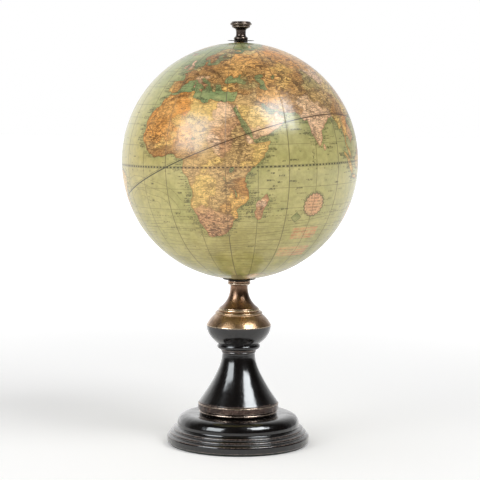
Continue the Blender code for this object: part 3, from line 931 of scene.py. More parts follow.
EDGING = 1.4  # degrees inside a border where a wash is deeper
frontier = np.zeros((TALL, WIDE))  # 0 between two washes
province = np.zeros((TALL, WIDE))  # 0 between any two middles
for row in range(TALL):
    angles = np.degrees(np.arccos(np.clip(warped[row] @ middles.T, -1, 1)))
    closest = np.partition(angles, 1, axis=1)[:, :2]
    province[row] = closest[:, 1] - closest[:, 0]
    by_wash = np.stack([angles[:, groups == group].min(1) for group in range(len(tints))], 1)
    share = np.exp((by_wash.min(1, keepdims=True) - by_wash) / RUN)
    land_tint[row] = (share @ tints) / share.sum(1, keepdims=True)
    by_wash.partition(1, axis=1)
    frontier[row] = by_wash[:, 1] - by_wash[:, 0]
deeper = np.clip(1 - frontier / EDGING, 0, 1)[..., None]
land_tint = land_tint * (1 - 0.16 * deeper * np.array([0.6, 1.0, 1.3]))
ice = np.clip((-60 - LATITUDE) / 4, 0, 1)[:, None, None]
pale_patch = np.exp(-(((LONGITUDE - 52) / 9) ** 2))[None, :, None]
ice_tint = np.array(paint(152, 164, 104)[:3]) * (1 - pale_patch)
ice_tint = ice_tint + np.array(paint(214, 176, 124)[:3]) * pale_patch
land_tint = land_tint * (1 - ice) + ice_tint * ice

# How thickly the engraver filled each part of the land: middle, reach and amount.
BUSY = """12,48,14,0.62 32,52,15,0.45 55,56,20,0.36 72,40,20,0.36 78,22,11,0.22
108,30,18,0.4 24,-28,10,0.6 -8,9,9,0.5 38,8,9,0.36 27,14,9,0.26 30,-10,12,0.2 -90,38,22,0.4
-62,-20,20,0.25 -12,18,8,0.34 14,26,9,-0.12"""
ground_points = globe_points(LONGITUDE[None, :] + 0 * LATITUDE[:, None], LATITUDE[:, None])
bustle = 0.36 + 0.16 * cloud(9, 21)
for x, y, reach, amount in line(BUSY):
    nearness = ground_points @ globe_points(np.array(x), np.array(y))
    bustle = bustle + amount * np.exp((nearness - 1) / (1 - math.cos(math.radians(reach))))
bustle = np.clip(bustle, 0.1, 1.0)

# The seas: a soft wash of sage and straw that runs from one into another.
SEAS = """-22,24,196,188,122 -35,35,212,204,148 -12,45,160,168,112 -20,60,150,162,110
-16,2,186,168,98 -5,-6,178,164,92 -18,-18,186,174,110 2,-18,174,170,102 -8,-34,176,170,98
8,-40,170,158,88 22,-44,178,156,88 40,-48,172,158,86 60,-52,172,160,90 30,-62,148,154,86
80,-60,156,154,88 48,-32,172,160,94 66,-24,178,170,106 60,-8,172,164,98 52,-2,172,162,94
74,-4,182,172,106 88,2,184,178,116 88,12,170,164,106 62,14,170,158,92 66,19,150,152,94
104,-12,182,176,118 4,40,138,156,104 17,36,142,156,98 26,34,150,168,108 30,44,124,136,78
50,42,126,136,78 20,58,132,148,100 36,74,146,158,108 40,22,146,150,88 150,10,184,178,114
-150,20,188,180,116 -120,-20,180,172,106 170,-30,176,170,104 -60,20,178,176,116
-100,-50,164,156,92 150,50,156,164,110"""
sea_middles = globe_points(*np.array(line(SEAS))[:, :2].T)
sea_colours = 0.95 * np.array([paint(*sea[2:])[:3] for sea in line(SEAS)])
sea_tint = np.zeros((TALL, WIDE, 3))
for row in range(TALL):
    pull = np.exp(26 * (warped[row] @ sea_middles.T - 1))
    sea_tint[row] = (pull @ sea_colours) / pull.sum(1, keepdims=True)
shallows = np.clip(1 + coast / 2.3, 0, 1)[..., None] ** 2  # greener by the shore
sea_tint = sea_tint * (1 - shallows * np.array([0.20, 0.10, 0.14]))

# The engraver's ink, from 0 for bare paper to 1 for a full black stroke.
ink = np.zeros((TALL, WIDE))


def stroke(points, weight):
    """Cuts a line through the points."""
    for (x0, y0), (x1, y1) in zip(points, points[1:]):
        steps = max(2, round(math.dist((x0, y0), (x1, y1)) / FINE * 1.3))
        t = np.linspace(0, 1, steps)
        columns = np.round((x0 + (x1 - x0) * t + 180) / FINE).astype(int) % WIDE
        rows = np.round((y0 + (y1 - y0) * t + 90) / FINE).astype(int)
        rows = np.clip(rows, 0, TALL - 1)
        ink[rows, columns] = np.maximum(ink[rows, columns], weight)


def lettering(x, y, length, tall, weight, slant=0.0):
    """A word's worth of little marks, none of them a real letter."""
    room = 1 / max(0.2, math.cos(math.radians(y)))
    across = 0.0
    while across < length:
        for level in np.arange(0, tall, FINE):
            if engraver.random() < 0.78:
                column = round((x + across * room + 180) / FINE) % WIDE
                row = round((y + slant * across + level + 90) / FINE)
                if 0 <= row < TALL:
                    dark = weight * engraver.uniform(0.7, 1.0)
                    ink[row, column] = max(ink[row, column], dark)
        across += FINE * (1 if engraver.random() < 0.8 else 2)


# Borders, then towns and names all over the land, thickest where people lived.
THIN_BORDER, BORDER = 0.2, 0.26  # degrees
ROW_OF_TYPE = 0.9  # degrees from one row to the next
ink = np.where(land & (province < THIN_BORDER), 0.3, ink)
ink = np.where(land & (frontier < BORDER), 0.52, ink)
for latitude in np.arange(-56, 76, ROW_OF_TYPE):
    step = 3.4 / max(0.25, math.cos(math.radians(latitude)))
    longitude = -180 + engraver.uniform(0, step)
    while longitude < 180:
        row = round((latitude + 90) / FINE)
        column = round((longitude + 180) / FINE) % WIDE
        busy = bustle[row, column]
        if coast[row, column] > 0.2 and engraver.random() < 0.22 + 0.7 * busy:
            lettering(
                longitude,
                latitude + engraver.uniform(-0.3, 0.3),
                engraver.uniform(1.0, 2.4 + 2.6 * busy),
                engraver.choice((0.25, 0.5, 0.75)),
                engraver.uniform(0.6, 0.8 + 0.2 * busy),
                engraver.uniform(-0.2, 0.2),
            )
        longitude += step * engraver.uniform(0.7, 1.5) * (1.25 - 0.5 * busy)

# Mountain chains as rows of short hachures.
CHAINS = """-9,30 -4,32.5 2,34.5 9,35.5; 36,13 38,10 38,7 36,3 35,-1 30,-3; 35,-6 35,-10
34,-15; 30,-29 28,-31 24,-32.5 20,-33; 12,5 15,8 11,9; 7,23 10,24 17,21; 36,20 40,16 44,14
46,14; 36,37 40,39 44,38 47,35 52,30 58,28; -1,42.8 2,42.5; 6,44.5 8,46.3 12,47 15,47;
17,49.5 22,48.5 25,46; 40,43.5 44,42.7 48,41; 60,68 59,62 58,55 58,51; 62,26 68,30 70,34
74,36 78,34 82,30 86,28 92,28 97,28; 74,36 78,41 84,43 90,44; 74,38 80,36 88,36 96,38; 90,50
97,51 104,52 112,55 122,56 130,60 140,64; 76,18 75,13 77,9; 98,26 99,20 98,16; 8,60 13,64
17,68; -128,56 -120,50 -114,46 -108,40 -106,34 -103,26 -98,19; -122,46 -121,40 -118,35;
-84,34 -78,39 -72,43; -76,4 -78,-2 -76,-10 -70,-16 -68,-24 -70,-32 -72,-42 -73,-50; -45,-20
-42,-16; 150,-35 148,-30 151,-26; 47,-16 47,-20 46,-23; 12,12 10,14; 25,14 23,11"""
for chain in CHAINS.split(";"):
    ridge = wandering(line(chain), 0.12, 0.5, closed=False)
    for (x0, y0), (x1, y1) in zip(ridge, ridge[1:]):
        heading = math.atan2(y1 - y0, x1 - x0) + math.pi / 2 + engraver.uniform(-0.5, 0.5)
        for side in (-1, 1):
            reach = engraver.uniform(0.4, 1.3) * side
            stroke(
                [(x0, y0), (x0 + reach * math.cos(heading), y0 + reach * math.sin(heading))],
                engraver.uniform(0.55, 1.0),
            )

RIVERS = """31.3,31 31,28 32.8,25.5 31,22 33.5,19 32.6,15.6 32,10 31,5 32,1; 32.6,15.6 35,12
37,11.5; 12.4,-6 15,-4.5 17,-1 19,2 23,2 25.5,0 26,-5 28,-9; 6,4.5 6.7,7.5 4,11 0,16.5 -4,15
-9,12 -10,9.5; 36,-18.5 33,-16 30,-15.7 26,-17.9 23,-16 22.5,-12; 16.6,-28.7 20,-28.5 24,-29
28,-30; 32,-25 32,-23 29,-22.3 27,-24; -16.4,16 -14,16.5 -12,14.5 -10,12.5; 43,0 42.5,3 45,6
42,8; 67.5,24.5 68.5,27.5 71,31 73,34 77,33 81,31; 90,22.5 88,24.8 84,25.5 79,28.5; 91,22.5
90,26 95,28.5 88,29 82,30; 48.5,30 46,32 43,35 41,37; 47,31 44,32 41,34.5 38,36.5; 48,46
45,48.5 47,52 49,55 45,56.3 38,57.5; 29.5,45.2 27,43.8 21,44.8 19,47.5 14,48.3 10,48.5;
32.5,46.6 34,48.5 31,50.5 31,54; 39.3,47.1 41,48.5 39,51.5; 67,66.5 66,62 69,60.5 75,58
80,54; 82,71 87,66 90,60 92,55; 127,72 124,66 129,62 120,59 108,55; 141,53 135,48.5 130,48
125,52 118,50; 119,37.7 114,35 110,40 107,38 103,36 97,35; 121.5,31.5 116,30 112,30 106,29.5
101,26.5 97,32; 106.5,10 105,15 102,18 100,21 97,28; 97,17 98,21 98,26; 62,45.5 66,44.5
69,41.5 74,41.5; 59,43.8 61,41.5 66,37.8 71,37; -50,0 -55,-2 -62,-3.3 -70,-4 -75,-5 -76,-10;
-58.4,-34 -59,-28 -57,-20 -55,-15; -48,-1 -49,-6 -50,-12; -90,29.5 -91,33 -89.5,37 -91,42
-94,47; -89.5,37 -84,38.5 -80,40.5; -90,38.7 -97,40 -104,45 -111,47.5; -135,69 -126,65
-118,61 -112,58; -65,49 -72,46.8 -76,44; 139,-35.5 143,-34.5 148,-36 145,-32 146,-28"""
for river in RIVERS.split(";"):
    stroke(wandering(line(river), 0.16, 0.4, closed=False), 0.62)

# Harbour names run out to sea from every coast, and small type stands off it.
for shore in shores:
    for (x0, y0), (x1, y1) in zip(shore[::3], shore[1::3]):
        row = round((y0 + 90) / FINE)
        if not 4 < row < TALL - 4:
            continue
        inland = [
            land[row, round((x0 + side * 1.5 + 180) / FINE) % WIDE] for side in (-1, 1)
        ]
        if inland[0] == inland[1] or engraver.random() > 0.8:
            continue
        length = engraver.uniform(1.2, 4.6)
        room = 1 / max(0.3, math.cos(math.radians(y0)))
        start = x0 + 0.5 if inland[0] else x0 - (length + 0.5) * room
        tall = engraver.choice((0.5, 0.5, 0.75))
        lettering(start, y0 - 0.12, length, tall, engraver.uniform(0.7, 1.0))

# Lines of current, curling round the southern Atlantic and running east below it.
for level in range(24):
    south = -24.0 - level * 2.0
    x = engraver.uniform(-60, -30)
    while x < 150:
        run = engraver.uniform(8, 34)
        reach = np.arange(x, x + run, 2)
        track = [(at, south + 1.1 * math.sin(at / 14 + level * 0.5)) for at in reach]
        if len(track) > 2:
            stroke(track, engraver.uniform(0.3, 0.65))
        x += run + engraver.uniform(2, 14)
for ring in range(4):
    size = 6 + ring * 3.6
    start = engraver.uniform(-0.5, 0.6)
    track = [
        (
            -16 + (1.5 * size + 1.6 * math.sin(3 * a + ring)) * math.cos(a),
            -20 + (0.9 * size + 1.2 * math.sin(4 * a)) * math.sin(a),
        )
        for a in np.arange(start, start + engraver.uniform(1.6, 3.0), 0.2)
    ]
    stroke(track, 0.5)

# Little groups of soundings and islets across the seas.
for _ in range(900):
    x, y = engraver.uniform(-180, 180), math.degrees(math.asin(engraver.uniform(-0.97, 0.97)))
    row, column = round((y + 90) / FINE), round((x + 180) / FINE) % WIDE
    if coast[row, column] < -1.5 and -62 < y < 74:
        lettering(x, y, engraver.uniform(0.5, 3.6), 0.5, engraver.uniform(0.4, 0.9))
for _ in range(26):
    x, y = engraver.uniform(72.5, 73.8), engraver.uniform(-0.6, 7.2)
    lettering(x, y, 0.5, 0.5, 0.95)
LABELS = """55,-4.6,2.6 52,-9.3,2.2 57,-20.6,3.4 43,-12,2.4 46,12.1,5 62,16.6,6 84,9,6.5
60,2.6,5 49,-6.6,3.6 54,-7.6,2.4 50,-10.6,3.2 60,-7.2,4 64,-10.4,3.4 51,-3.2,2 70,-7,2.6
88,-9,3 -12,-16,2.4 -8,-27,3.6 -4,-30,5 8,-31,3 2,-22,2.6 6,-12,2.2 -10,-8,1.6 40,-41,4.4"""
for x, y, length in line(LABELS):  # where each starts, and how long it is
    lettering(x, y, length, 0.75, 1.0)

# Degrees along the equator: a small figure at every fifth one.
for x in range(-180, 180, 5):
    lettering(x - 0.5, -1.9, 1.0, 0.75, 0.75)


# The cartouche: a plain rose medallion with a fringe above it and rules inside,
# and two tinted panels of rules and a lozenge below. All are generic ornament.

ROSE = np.array(paint(228, 168, 124)[:3])
ROSE_INK = np.array(paint(206, 130, 84)[:3])
LEAF = np.array(paint(108, 120, 64)[:3])


def tinted(where, colour, share):
    """Washes the sea with a colour wherever that is."""
    sea_tint[where] = sea_tint[where] * (1 - share) + colour * share


MEDALLION_EAST, MEDALLION_NORTH, MEDALLION = 75.5, -19.0, 5.6  # its middle and radius
east = (LONGITUDE[None, :] - MEDALLION_EAST) * np.cos(np.radians(MEDALLION_NORTH))
north = LATITUDE[:, None] - MEDALLION_NORTH + 0 * east
from_middle = np.hypot(east, north)
bearing = np.arctan2(north, east)
scallops = MEDALLION * (1 + 0.05 * np.sin(18 * bearing))
tinted(from_middle < scallops, ROSE, 0.85)
rim = np.abs(from_middle - scallops) < 0.42
ink = np.where(rim, np.maximum(ink, 0.72), ink)
inner_rim = np.abs(from_middle - 0.8 * MEDALLION) < 0.16
ink = np.where(inner_rim, np.maximum(ink, 0.4), ink)
fringe = (np.abs(from_middle - 1.12 * MEDALLION) < 0.5) & (bearing > 0.3) & (bearing < 2.8)
ink = np.where(fringe & (np.sin(46 * bearing) > -0.2), np.maximum(ink, 0.66), ink)
for level, reach in ((3.0, 2.6), (1.5, 3.6), (0.0, 4.0), (-1.5, 3.6), (-3.0, 2.4)):
    lettering(MEDALLION_EAST - reach, MEDALLION_NORTH + level, 2 * reach * 0.95, 0.75, 0.7)

words = cloud(0.75, 77) > -0.3
PANELS = ((75.0, -34.0, 8.8, 3.3), (73.6, -45.6, 12.5, 3.6))  # middles, then half sizes
for middle_x, middle_y, half_x, half_y in PANELS:
    inside = (np.abs(LONGITUDE[None, :] - middle_x) < half_x) & (
        np.abs(LATITUDE[:, None] - middle_y) < half_y
    )
    tinted(inside, ROSE, 0.3)
    rows = np.mod(LATITUDE[:, None] - middle_y + half_y, 1.75) < 1.1
    tinted(inside & rows & words, ROSE_INK, 0.8)

lozenge = np.abs(LONGITUDE[None, :] - 66.0) * 0.9 + np.abs(LATITUDE[:, None] + 25.0)
tinted(lozenge < 2.6, LEAF, 0.7)
ink = np.where(np.abs(lozenge - 2.6) < 0.25, np.maximum(ink, 0.6), ink)


# Gores: twelve sheets of printed paper, each 30 degrees wide, pasted side by side
# over the ball and varnished. They went on a little askew, their cut edges stand
# up by a hair, and the paper has cockled slightly as it dried.

BALL_CENTRE = 290.1
BALL_RADIUS = 119.93  # over the paper, in mm
FRONT = 36.7  # the meridian that faces the front
ASKEW = math.radians(1.43)  # how far the printed equator leans off level
GORE = 30  # degrees across one gore
GORE_END = 80  # degrees north and south where a calotte takes over
TROPIC = 23.45  # degrees north and south, and how far the sun's path swings


def on_ball(longitude, latitude, radius):
    """Places on the ball, in metres, of points of the askew map."""
    around = np.radians(longitude - FRONT - 90)
    up = np.radians(latitude)
    x = radius * np.cos(up) * np.cos(around)
    y = radius * np.cos(up) * np.sin(around)
    z = radius * np.sin(up)
    lean = x * math.cos(ASKEW) - z * math.sin(ASKEW)
    rise = x * math.sin(ASKEW) + z * math.cos(ASKEW)
    return np.stack([lean, y + 0 * lean, rise + BALL_CENTRE], -1) * MM


def sheet_of_map(name, places, longitude, latitude, spots, edge):
    """A piece of the printed map from a grid of places. Its points hold what is printed
    there: tints, distance off the coast, ink, longitude and latitude."""
    rows, columns = longitude.shape
    index = np.arange(rows * columns).reshape(rows, columns)
    faces = np.stack(
        [index[:-1, :-1], index[:-1, 1:], index[1:, 1:], index[1:, :-1]], -1
    ).reshape(-1, 4)
    mesh = bpy.data.meshes.new(name)
    mesh.vertices.add(rows * columns)
    mesh.vertices.foreach_set("co", places.reshape(-1).astype(np.float32))
    mesh.loops.add(faces.size)
    mesh.loops.foreach_set("vertex_index", faces.ravel().astype(np.int32))
    mesh.polygons.add(len(faces))
    mesh.polygons.foreach_set("loop_start", (np.arange(len(faces)) * 4).astype(np.int32))
    mesh.update(calc_edges=True)
    unwrapped = mesh.uv_layers.new(name="OFBake")
    corners = spots.reshape(-1, 2)[faces.ravel()]
    unwrapped.data.foreach_set("uv", corners.ravel().astype(np.float32))
    row = (latitude + 90) / FINE
    column = (longitude + 180) / FINE
    low = np.clip(np.floor(row).astype(int), 0, TALL - 2)
    left = np.floor(column).astype(int)
    up, over = row - low, column - left
    for label, field in (
        ("coast", coast),
        ("ink", ink),
        ("bustle", bustle),
        ("land_tint", land_tint),
        ("sea_tint", sea_tint),
    ):
        u, o = (up, over) if field.ndim == 2 else (up[..., None], over[..., None])
        a, b = field[low, left % WIDE], field[low, (left + 1) % WIDE]
        c, d = field[low + 1, left % WIDE], field[low + 1, (left + 1) % WIDE]
        drawn = (a * (1 - o) + b * o) * (1 - u) + (c * (1 - o) + d * o) * u
        if field.ndim == 2:
            store(mesh, label, drawn)
        else:
            opaque = np.ones(drawn.shape[:2] + (1,))
            store(mesh, label, np.concatenate([drawn, opaque], -1), "FLOAT_COLOR", "color")
    for label, field in (("longitude", longitude), ("latitude", latitude), ("edge", edge)):
        store(mesh, label, field + 0 * longitude)
    mesh.validate()
    mesh.shade_smooth()
    return placed(name, mesh)


def with_border(count, margin):
    """Shares from 0 to 1 along a sheet's grid lines, its turned-down border outermost."""
    stops, shares = (0, 1, count, count + 1), (0, margin, 1 - margin, 1)
    return np.interp(np.arange(count + 2), stops, shares)


def printed_paper():
    """Tinted and engraved paper under old varnish."""
    paper = Finish(
        "printed and varnished map",
        roughness=0.42,
        Specular_IOR_Level=0.3,
        Coat_Weight=0.6,
        Coat_Roughness=0.12,
        Coat_IOR=1.55,
    )
    longitude, latitude = paper.stored("longitude"), paper.stored("latitude")
    shore, cut = paper.stored("coast"), paper.stored("ink")

    ragged = paper.minus(paper.grain(900, detail=4), 0.5)
    shore = paper.plus(shore, paper.times(ragged, 0.5))
    on_land = paper.band(shore, -0.07, 0.07)
    shoreline = paper.band(paper.size(shore), 0.06, 0.24, 1.0, 0.0)

    # Washes, laid unevenly by hand, deepest just inside the coast.
    pooled = paper.grain(46, detail=5, rough=0.6)
    worn = paper.grain(190, detail=5, rough=0.65)
    washed = paper.blend(
        paper.band(pooled, 0.3, 0.66, 0.1, 0.45),
        paper.stored("land_tint", "Color"),
        paint(240, 198, 126),
    )
    inshore = paper.band(shore, 0.1, 1.3, 0.32, 0.0)
    washed = paper.blend(inshore, washed, paint(176, 120, 66), "MULTIPLY")
    sea = paper.blend(
        paper.band(pooled, 0.35, 0.65, 0.0, 0.4),
        paper.stored("sea_tint", "Color"),
        paint(206, 192, 128),
    )
    ground = paper.blend(on_land, sea, washed)
    mottle = paper.band(worn, 0.3, 0.72, 0.82, 1.08)
    shade = paper.add("ShaderNodeCombineXYZ", X=mottle, Y=mottle, Z=mottle)
    ground = paper.blend(1.0, ground, shade.outputs[0], "MULTIPLY")

    # Fine engraving: close winding cuts over the land and the most crowded seas.
    busy = paper.stored("bustle")
    scribble = 0.0
    for size, detail, width, weight in ((110, 1, 0.05, 1.0), (210, 1, 0.035, 0.85)):
        course = paper.grain(size, stretch=(1, 1, 2.5), detail=detail, wander=0.6)
        gap = paper.size(paper.minus(course, 0.5))
        cuts = paper.band(gap, width * 0.6, width, weight, 0.0)
        scribble = paper.most(scribble, cuts)
    where = paper.band(paper.grain(90, detail=3), 0.34, 0.6, 0.6, 0.92)
    where = paper.times(where, paper.band(busy, 0.05, 0.9, 0.42, 1.0))
    crowded = paper.most(on_land, paper.band(busy, 0.6, 0.95, 0.0, 0.7))
    scribble = paper.times(paper.times(scribble, where), crowded)
    letters = paper.times(cut, paper.band(paper.grain(1500, detail=2), 0.3, 0.5, 0.6, 1.0))

    # Graticule, tropics, the dashed equator and the sun's path.
    narrowing = paper.sum("COSINE", paper.sum("RADIANS", latitude))

    def rule(source, half, soft, weight, at_pole=True):
        gap = paper.times(source, narrowing) if at_pole else source
        return paper.band(gap, half, half + soft, weight, 0.0)

    grid = paper.most(
        rule(paper.fold(longitude, 7.5), 0.1, 0.15, 0.58),
        rule(paper.fold(latitude, 5.0), 0.07, 0.15, 0.42, False),
    )
    rules = [paper.times(grid, paper.band(on_land, 0.0, 1.0, 1.0, 0.6))]
    beat = paper.band(paper.fold(longitude, 1.0), 0.34, 0.48)
    tropic = paper.size(paper.minus(paper.size(latitude), TROPIC))
    rules.append(paper.times(rule(tropic, 0.1, 0.15, 0.55, False), beat))
    off_line = paper.size(latitude)
    rules.append(paper.times(rule(off_line, 0.25, 0.16, 1.0, False), beat))
    beside_line = paper.size(paper.minus(off_line, 0.5))
    rules.append(rule(beside_line, 0.04, 0.12, 0.6, False))
    path = paper.times(paper.sum("SINE", paper.sum("RADIANS", longitude)), TROPIC)
    off_path = paper.minus(latitude, path)
    rules.append(rule(paper.size(off_path), 0.2, 0.2, 1.0, False))
    beside = paper.size(paper.minus(off_path, 0.8))
    rules.append(rule(beside, 0.05, 0.14, 0.6, False))
    engraved = letters
    for cut_line in (*rules, paper.times(shoreline, 0.55)):
        engraved = paper.most(engraved, cut_line)
    engraved = paper.most(engraved, paper.times(scribble, 0.94))
    ink_colour = paper.blend(on_land, paint(48, 44, 22), paint(54, 30, 12))
    printed = paper.blend(paper.times(engraved, 0.92), ground, ink_colour)

    # Age: foxing, a brown hairline of dirt along every cut edge, and dulled varnish.
    foxed = paper.band(paper.grain(330, detail=2), 0.70, 0.78, 0.0, 0.35)
    printed = paper.blend(foxed, printed, paint(120, 84, 44))
    dirt = paper.band(paper.stored("edge"), 0.05, 0.35, 0.4, 0.0)
    printed = paper.blend(dirt, printed, paint(96, 78, 44))
    fibres = paper.grain(1700, detail=4)
    cockle = paper.grain(34, detail=2)
    relief = paper.bump(fibres, 0.00005, under=paper.bump(cockle, 0.0006, strength=0.5))
    relief = paper.bump(engraved, 0.00004, strength=0.5, under=relief)
    return paper.finish(
        colour=printed, roughness=paper.band(worn, 0.3, 0.7, 0.34, 0.5), normal=relief
    )


map_finish = printed_paper()
cockles = 0.07 * cloud(8, 31) + 0.03 * cloud(3, 32)
for number in range(12):
    west = number * GORE
    across = np.arange(GORE / FINE + 1) * FINE
    upward = np.arange(-GORE_END, GORE_END + FINE / 2, FINE)
    longitude, latitude = np.meshgrid(west + across, upward)
    edge = np.minimum(across, GORE - across)[None, :] * np.cos(np.radians(latitude))
    lift = 0.05 * np.clip(1 - edge / 0.8, 0, 1)
    spot_row = np.round((latitude + 90) / FINE).astype(int)
    spot_column = np.round((longitude + 180) / FINE).astype(int) % WIDE
    radius = BALL_RADIUS + lift + cockles[spot_row, spot_column] * np.clip(edge / 3, 0, 1)
    # A narrow border round the sheet turns down to the board, as its cut edge.
    longitude, latitude, edge, radius = (
        np.pad(grid, 1, mode="edge") for grid in (longitude, latitude, edge, radius)
    )
    for side in (radius[0], radius[-1], radius[:, 0], radius[:, -1]):
        side[:] = BALL_RADIUS - 0.4
    u, v = with_border(len(across), 0.012), with_border(len(upward), 0.008)
    gore = sheet_of_map(
        f"paper_gore_{number + 1:02d}",
        on_ball(longitude, latitude, radius),
        longitude,
        latitude,
        np.stack(np.meshgrid(u, v), -1),
        edge,
    )
    settle(gore, map_finish, "globe", "map_paper", f"gore_{number + 1:02d}")


# Calottes: round caps of the same paper over the gores' points at each pole,
# pierced for the bush. The hole is true to the rod though the map isn't.

BUSH_HOLE = math.asin(7.35 / BALL_RADIUS)  # half its width, as an angle
for name, node, pole in (
    ("paper_calotte_south", "south_calotte", -1),
    ("paper_calotte_north", "north_calotte", 1),
):
    turn = np.linspace(0, 360, 241)
    share = np.concatenate([[0, 0], np.linspace(0, 1, 28), [1]])
    ring_map = on_ball(-turn * pole, pole * (GORE_END - 0.45) + 0 * turn, 1.0) / MM
    ring_map[:, 2] -= BALL_CENTRE
    about = np.radians(-turn * pole - FRONT - 90)
    ring_hole = np.stack(
        [
            math.sin(BUSH_HOLE) * np.cos(about),
            math.sin(BUSH_HOLE) * np.sin(about),
            pole * math.cos(BUSH_HOLE) + 0 * about,
        ],
        -1,
    )
    way = ring_hole[None] * (1 - share[:, None, None]) + ring_map[None] * share[:, None, None]
    way /= np.linalg.norm(way, axis=-1, keepdims=True)
    radius = np.full(share.shape, BALL_RADIUS + 0.06)
    radius[0] -= 0.4
    radius[-1] -= 0.3
    places = way * radius[:, None, None]
    # Undo the askew paste to find what is printed at each place.
    level = way[..., 0] * math.cos(ASKEW) + way[..., 2] * math.sin(ASKEW)
    north = -way[..., 0] * math.sin(ASKEW) + way[..., 2] * math.cos(ASKEW)
    latitude = np.degrees(np.arcsin(np.clip(north, -1, 1)))
    longitude = np.degrees(np.arctan2(way[..., 1], level)) + 90 + FRONT
    for row in range(len(longitude)):
        longitude[row] = np.degrees(np.unwrap(np.radians(longitude[row])))
    places[..., 2] += BALL_CENTRE
    reach = np.linspace(0.12, 0.49, len(share))[:, None]
    spots = 0.5 + np.stack([reach * np.cos(about), reach * np.sin(about)], -1)
    edge = (1 - share)[:, None] * 9.0 + 0 * longitude
    cap = sheet_of_map(name, places * MM, longitude, latitude, spots, edge)
    settle(cap, map_finish, "globe", "map_paper", node)


# Pole washer: a thin flange of dark brass on a low boss, turned in one, between
# the ball and the finial. It rides up with the finial when that is unscrewed.

washer = turned(
    "pole_washer_turned",
    [
        (5.15, 412.3), (12.9, 412.3), (13.4, 412.1), (13.4, 411.9), (12.9, 411.7),
        (7.2, 411.6), (6.9, 411.1), (6.7, 410.6), (5.15, 410.6),
    ],
    ease=0.2,
    longest=0.8,
)
settle(washer, dark_brass, "captive_washer", "dark_brass", "pole_washer")


# Finial: a hand nut turned from bronzed brass, in an ogee foot, a plain shank
# and a double-lipped knob with a button on top, tapped for the rod's M6 thread.

finial = turned(
    "turned_finial",
    [
        (0.0, 431.55), (6.0, 431.5), (8.9, 431.2), (9.8, 430.6), (9.9, 429.9),
        (10.7, 429.4), (11.0, 428.6), (10.6, 427.6), (9.1, 427.0), (9.4, 426.2),
        (8.9, 425.2),
        *bend((6.9, 424.1), (5.0, 423.6), (4.95, 421.0), 6),
        *bend((4.9, 418.4), (4.9, 416.6), (6.3, 415.6), 6),
        (7.0, 415.0), (7.2, 413.9), (6.9, 412.9), (6.3, 412.45), (4.8, 412.45),
        (4.8, 410.8), (3.3, 410.8), (3.3, 424.9), (0.0, 424.9),
    ],
    ease=0.3,
    closed=False,
    longest=0.8,
)
settle(
    finial,
    patinated(
        "bronzed finial brass",
        paint(52, 41, 35),
        paint(84, 69, 58),
        paint(168, 152, 132),
        mottle=110,
        share=0.52,
        rough=0.34,
        pits=0.00002,
    ),
    "finial_knob",
    "dark_brass",
    "finial",
)


# Studio: a pale floor glowing faintly as painted light, a white surround dark only
# behind the camera, and two square softboxes high in front, to the left and right.

FLOOR = 9  # metres from the stand to each edge of the floor
corners = [(-FLOOR, -FLOOR, 0), (FLOOR, -FLOOR, 0), (FLOOR, FLOOR, 0), (-FLOOR, FLOOR, 0)]
floor_mesh = bpy.data.meshes.new("studio_floor")
floor_mesh.from_pydata(corners, [], [(0, 1, 2, 3)])
floor = placed("studio_floor", floor_mesh)
matt = Finish(
    "pale matt floor",
    roughness=0.9,
    Specular_IOR_Level=0.1,
    Emission_Color=(1.0, 1.0, 1.0, 1.0),
)
far_off = matt.add("ShaderNodeVectorMath")
far_off.operation = "LENGTH"
matt.join(matt.places.outputs["Object"], far_off.inputs[0])
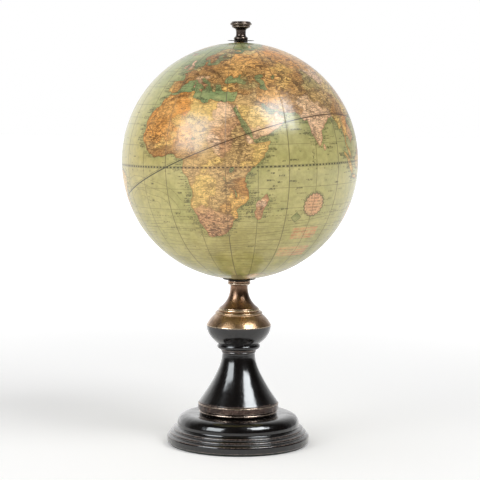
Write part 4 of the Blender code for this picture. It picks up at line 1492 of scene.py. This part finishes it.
# The floor glows: painted light, faint by the stand, where it lifts the cast shadows, and
# brighter far off.
glow = matt.band(far_off.outputs["Value"], 0.3, 2.0, 0.13, 0.6)  # lit up more, far off
matt.join(glow, matt.shader.inputs["Emission Strength"])
floor_mesh.materials.append(
    matt.finish(colour=matt.blend(matt.grain(3), paint(246, 246, 246), paint(250, 250, 250)))
)
floor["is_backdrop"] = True


def softbox(name, direction, wide, brightness, glint):
    """A square softbox that faces the ball from that direction. Its hot front shows
    only where polish and metal mirror it."""
    aim = Vector((0, 0, BALL_CENTRE * MM))
    away = Vector(direction).normalized()
    for part, level, distance in (("cloth", brightness, 4.0), ("front", glint, 3.9)):
        light = bpy.data.lights.new(f"{name}_{part}", "AREA")
        light.shape = "SQUARE"
        light.size = wide
        light.energy = level * math.pi * wide**2
        if part == "front":
            light.color = (0.88, 0.95, 1.0)
        box = placed(light.name, light)
        box.location = aim + away * distance
        box.rotation_mode = "QUATERNION"
        box.rotation_quaternion = away.to_track_quat("Z", "Y")
        box.visible_camera = False
        box.visible_diffuse = part == "cloth"


softbox("left_softbox", (-0.69, -0.58, 0.44), 2.1, 2.3, 6.4)
softbox("right_softbox", (0.54, -0.47, 0.68), 1.9, 5.6, 9.0)

EVEN = 0.575  # the surround as matt surfaces see it: the same on all sides
surround = bpy.data.worlds.new("studio_surround")
surround.use_nodes = True
air = Mixing(surround.node_tree)
way = air.add("ShaderNodeSeparateXYZ", Vector=air.places.outputs["Generated"]).outputs
ahead = air.band(way["Y"], 0.12, 0.95, 0.02, 1.0)  # dark behind the camera
aside = air.band(way["X"], -0.9, 0.9, 1.6, 0.42, "LINEAR")  # the left wall is nearer
ray = air.add("ShaderNodeLightPath").outputs
gloss = air.times(ray["Is Glossy Ray"], air.minus(ahead, EVEN))
strength = air.most(air.times(air.plus(gloss, EVEN), aside), ray["Is Camera Ray"])
backdrop = surround.node_tree.nodes["Background"]
air.join(strength, backdrop.inputs["Strength"])
air.join((1.0, 1.0, 1.0, 1.0), backdrop.inputs["Color"])
bpy.context.scene.world = surround
bpy.context.scene.view_settings.view_transform = "Standard"


# Camera: a long lens on a tripod, 1.8 m off and a little above the ball's middle,
# tilted down at the whole globe.

CAMERA_PLACE = Vector((0.0, -1.80, 0.377))
CAMERA_AIM = Vector((0.0006, 0.0, 0.2097))
CAMERA_ROLL = Matrix.Rotation(math.radians(0.415), 3, "Z")
camera = placed("camera", bpy.data.cameras.new("camera"))
camera.location = CAMERA_PLACE
camera.data.sensor_width = 36
camera.data.lens = 132.8
camera.data.clip_start = 0.05
camera.data.clip_end = 60
level = (CAMERA_AIM - CAMERA_PLACE).to_track_quat("-Z", "Y").to_matrix()
camera.rotation_mode = "QUATERNION"
camera.rotation_quaternion = (level @ CAMERA_ROLL).to_quaternion()
bpy.context.scene.camera = camera

low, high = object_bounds()
